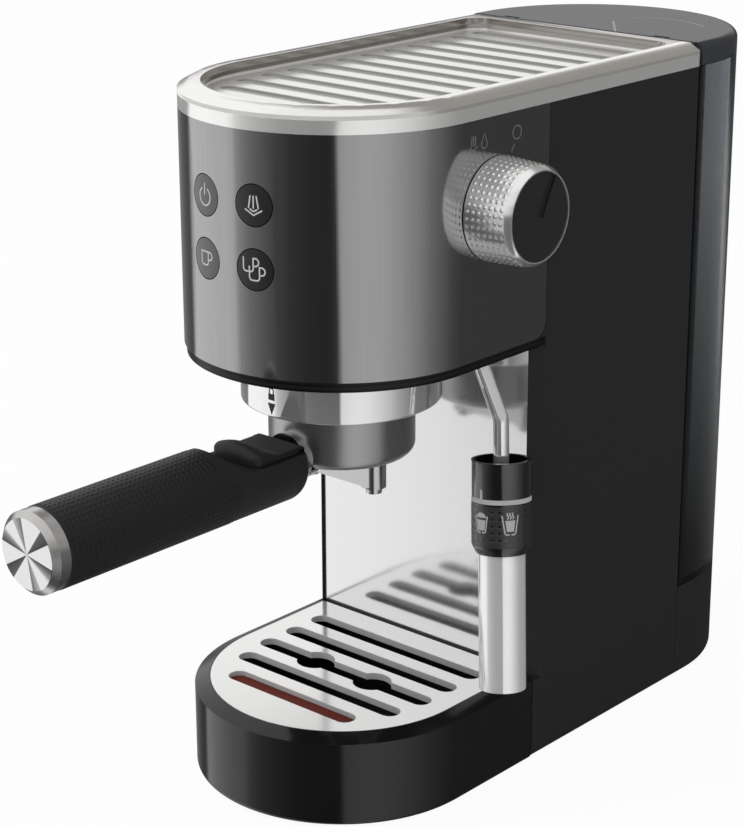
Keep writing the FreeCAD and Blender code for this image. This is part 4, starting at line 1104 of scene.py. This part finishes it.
@dataclass
class DripTray:
    """Gloss black tray, polished grid and red float; sizes in millimetres."""

    well_radius: float = 63.4
    bevel_height: float = 2.85
    slot_pitch: float = 16.7
    slot_first: float = -33.6
    slot_count: int = 5
    slot_half: float = 4.65
    slot_reach: float = 49.0
    drain_offset: float = 16.6
    drain_radius: float = 8.5
    edge_top: float = 0.12
    edge_depth: float = 2.95
    edge_gap: float = 0.12
    edge_wall: float = 0.3

    def build(self) -> None:
        """Dresses the tray, the grid and the float, and lines the slots."""
        axis = centre_of("group_ring")
        well_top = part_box("drip_tray")[1].z - self.bevel_height * MM
        tray = DullInside("gloss_tray", GLOSS_BLACK.colour, roughness=0.09, gloss_swing=0.03, relief=0.0,
                          centre_x=axis[0], centre_y=axis[1], well_radius=self.well_radius * MM, well_top=well_top)
        dress(tray, "drip_tray")
        grid = SlottedSteel("polished_grid_steel", (0.98, 0.98, 0.97), roughness=0.13, metallic=0.7, tone=0.02,
                            gloss_swing=0.03, relief=0.01, floor_z=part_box("drip_grid")[1].z - 0.1 * MM)
        dress(grid, "drip_grid")
        self.slot_edges()
        dress(FLOAT_RED, "tray_float")

    def slot_edges(self) -> None:
        """Lines the grid's slots and drains with turned-down edges."""
        axis = centre_of("group_ring")
        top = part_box("drip_grid")[1].z
        kit = MeshKit()
        for index in range(self.slot_count):
            y = self.slot_first + index * self.slot_pitch
            end = math.sqrt(self.slot_reach ** 2 - min(y, 0.0) ** 2) - self.slot_half
            drains = (self.drain_offset, -self.drain_offset) if index == self.slot_count // 2 else ()
            loops = [self.outline(end, y, gap, drains) for gap in (self.edge_gap, -self.edge_wall)]
            rows = zip((0, 0, 1, 1), (self.edge_top, self.edge_depth, self.edge_depth, self.edge_top))
            surface = np.stack([np.column_stack([axis[:2] + loops[i] * MM, np.full(len(loops[i]), top - depth * MM)])
                                for i, depth in rows], 1)
            kit.grid(surface, wrap_rows=True, wrap_columns=True)
        kit.piece("slot_edges", Body.GRID, Slot.STEEL, SLOT_EDGE.material())

    def outline(self, end: float, y: float, gap: float, drains: tuple[float, ...]) -> np.ndarray:
        """A slot's outline, drawn in by a gap, with drain holes along it.

        Args:
            end: the middle of its round end.
            y: its middle.
            gap: how far inside the slot's wall it runs.
            drains: places of drain holes from the middle, right one first.

        Returns:
            Points (x, y) round the slot.
        """
        radius, drain = self.slot_half - gap, self.drain_radius - gap
        lean = math.degrees(math.asin(radius / drain))
        holes = [arc(place, 0.0, drain, lean, 180 - lean, 16) for place in drains]
        side = np.concatenate([arc(end, 0.0, radius, -90, 90, 16), *holes])
        return np.concatenate([side, -side]) + (0.0, y)


@dataclass
class WaterTank:
    """Smoked tank and lid; sizes in millimetres."""

    line_width: float = 1.2
    bow: tuple[Span, ...] = ((3.3, 198.0), (11.9, 207.3), (29.7, 205.6), (41.6, 199.2))
    bow_trim: float = 9.0
    mark: tuple[Span, ...] = ((1.3, 184.9), (18.3, 162.9))

    def build(self) -> None:
        """Dresses the tank and draws the moulded lines on its lid."""
        low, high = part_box("water_tank")
        smoked = SmokedWall("smoked_tank", (0.42, 0.44, 0.455), roughness=0.04, transmission=1.0, tone=0.02,
                            gloss_swing=0.02, relief=0.0, centre_x=(low.x + high.x) / 2, front_y=low.y,
                            half_width=(high.x - low.x) / 2)
        dress(smoked, "water_tank")
        dress(SMOKED_LID, "tank_lid")
        dress(INNER, "tank_valve")
        dress(PLAIN_STEEL, "lid_pin")
        self.lid_lines()

    def lid_lines(self) -> None:
        """Draws a bow and a straight mark on the lid, from the brew axis."""
        axis = centre_of("group_ring")
        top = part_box("tank_lid")[1].z
        marker = Marker(FlatFace(np.array([axis[0], axis[1], top]), RIGHT, BACK), self.line_width)
        marker.line(rounded(self.bow, self.bow_trim, 12))
        marker.line(self.mark)
        marker.kit.piece("lid_lines", Body.LID, Slot.LID, LID_LINE.material())


@dataclass
class Studio:
    """White floor and surround, soft light and the camera at the photograph's angle."""

    azimuth: float = 41.02
    elevation: float = 18.56
    distance: float = 0.98241
    target: tuple[float, float, float] = (-0.013147, 0.00275, 0.15826)
    focal_pixels: float = 2274.56
    axis_pixel: Span = (396.27, 398.46)
    picture: tuple[int, int] = (743, 827)
    sensor: float = 36.0
    surround: tuple[Span, ...] = (
        (-180, 0.08), (-150, 0.10), (-128, 0.30), (-112, 0.20), (-98, 0.12), (-92, 0.12), (-89, 1.0), (-64, 1.0),
        (-55, 0.95), (-45, 0.95), (-40, 0.84), (-35, 0.50), (-25, 0.31), (-14, 0.20), (-4, 0.12), (6, 0.07), (20, 0.05),
        (40, 0.035), (42, 0.70), (58, 0.80), (72, 0.78), (89, 0.60), (100, 0.46), (110, 0.30), (120, 0.21), (130, 0.12),
        (141, 0.08), (180, 0.08))
    upper: tuple[tuple[float, Colour | float], ...] = (
        (0.0, (0.26, 0.245, 0.23)), (0.03, (0.30, 0.285, 0.27)), (0.07, 0.95), (0.2, 0.95), (0.45, 0.75), (0.54, 0.65),
        (0.6, 0.42), (0.8, 0.42), (0.95, (0.30, 0.285, 0.27)), (1.0, (0.26, 0.245, 0.23)))
    upper_shift: float = 0.09
    upper_step: Span = (0.02, 0.20)
    shift_step: Span = (0.40, 0.48)
    zenith_step: Span = (0.78, 0.9)
    zenith: Colour = (0.85,) * 3
    even_light: float = 0.7
    floor_half: float = 4.0
    floor_tone: float = 0.9
    floor_glow: float = 0.95
    lamp_size: float = 1.2
    lamp_power: float = 9.0
    lamp_place: tuple[float, float, float] = (-0.7, -0.9, 1.6)

    def build(self) -> None:
        """Makes the floor, the surround, a lamp and the camera."""
        bpy.context.scene.view_settings.view_transform = "Standard"
        self.floor()
        self.world()
        self.lamp()
        self.camera()

    def shown_directly(self, nodes: NodeKit) -> Shade:
        """1 for rays from the camera or through glass, where the background is plain white."""
        camera = nodes.add("ShaderNodeLightPath", output="Is Camera Ray")
        glass = nodes.add("ShaderNodeLightPath", output="Is Transmission Ray")
        return camera.math("MAXIMUM", glass)

    def floor(self) -> None:
        """A pale floor that is near white to the eye and keeps a faint shadow."""
        size = self.floor_half
        mesh = bpy.data.meshes.new("floor")
        mesh.from_pydata([(-size, -size, 0), (size, -size, 0), (size, size, 0), (-size, size, 0)], [], [(0, 1, 2, 3)])
        floor = placed("floor", mesh)
        material = bpy.data.materials.new("pale_floor")
        nodes = NodeKit(material)
        white = nodes.add("ShaderNodeEmission", None, {"Color": (1, 1, 1, 1), "Strength": 1.0})
        matte = nodes.add("ShaderNodeBsdfDiffuse", None, {"Color": (*(self.floor_tone,) * 3, 1)})
        shader = nodes.blend(self.shown_directly(nodes) * self.floor_glow, matte, white)
        nodes.add("ShaderNodeOutputMaterial", None, {"Surface": shader})
        mesh.materials.append(material)
        floor.visible_glossy = False

    def world(self) -> None:
        """White to the eye; reflections see soft boxes by azimuth, and other light is even."""
        world = bpy.data.worlds.new("surround")
        bpy.context.scene.world = world
        nodes = NodeKit(world)
        x, y, z = nodes.axes(nodes.add("ShaderNodeTexCoord", output="Generated"))
        turn = x.math("ARCTAN2", 0.0 - y) / (2 * math.pi) + 0.5
        low = nodes.ramp(turn, tuple(((azimuth + 180) / 360, level) for azimuth, level in self.surround))
        upper = nodes.ramp(turn - nodes.step(z, *self.shift_step) * self.upper_shift, self.upper)
        body = nodes.mix(nodes.step(z, *self.upper_step), low, upper)
        sky = nodes.mix(nodes.step(z, *self.zenith_step), body, self.zenith)
        glossy = nodes.add("ShaderNodeLightPath", output="Is Glossy Ray")
        even = nodes.add("ShaderNodeBackground", None, {"Color": (1, 1, 1, 1), "Strength": self.even_light})
        boxes = nodes.add("ShaderNodeBackground", None, {"Color": sky, "Strength": 1.0})
        white = nodes.add("ShaderNodeBackground", None, {"Color": (1, 1, 1, 1), "Strength": 1.0})
        seen = nodes.blend(self.shown_directly(nodes), nodes.blend(glossy, even, boxes), white)
        nodes.add("ShaderNodeOutputWorld", None, {"Surface": seen})

    def lamp(self) -> None:
        """A large soft lamp above and to the left."""
        light = bpy.data.lights.new("soft_lamp", "AREA")
        light.shape = "DISK"
        light.size = self.lamp_size
        light.energy = self.lamp_power
        lamp = placed("soft_lamp", light)
        lamp.location = self.lamp_place
        lamp.rotation_euler = (Vector(self.target) - lamp.location).to_track_quat("-Z", "Y").to_euler()
        lamp.visible_glossy = False

    def camera(self) -> None:
        """The camera, from its angle, distance and focal length in pixels."""
        turn, rise = math.radians(self.azimuth), math.radians(self.elevation)
        back = Vector((math.sin(turn) * math.cos(rise), -math.cos(turn) * math.cos(rise), math.sin(rise)))
        data = bpy.data.cameras.new("camera")
        data.sensor_width = self.sensor
        width, height = self.picture
        data.lens = self.focal_pixels * self.sensor / height
        data.shift_x = (width / 2 - self.axis_pixel[0]) / height
        data.shift_y = (self.axis_pixel[1] - height / 2) / height
        camera = placed("camera", data)
        camera.location = Vector(self.target) + back * self.distance
        camera.rotation_euler = (-back).to_track_quat("-Z", "Y").to_euler()
        bpy.context.scene.camera = camera


def main() -> None:
    """Builds every sub-assembly round the frame."""
    logging.basicConfig(level=logging.INFO, format="%(message)s")
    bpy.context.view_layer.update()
    for assembly in (Studio(), Casing(), PushButtons(), SteamKnob(), Portafilter(), SteamWand(), DripTray(),
                     WaterTank()):
        LOG.info("building %s", type(assembly).__name__)
        assembly.build()


if __name__ == "__main__":
    main()
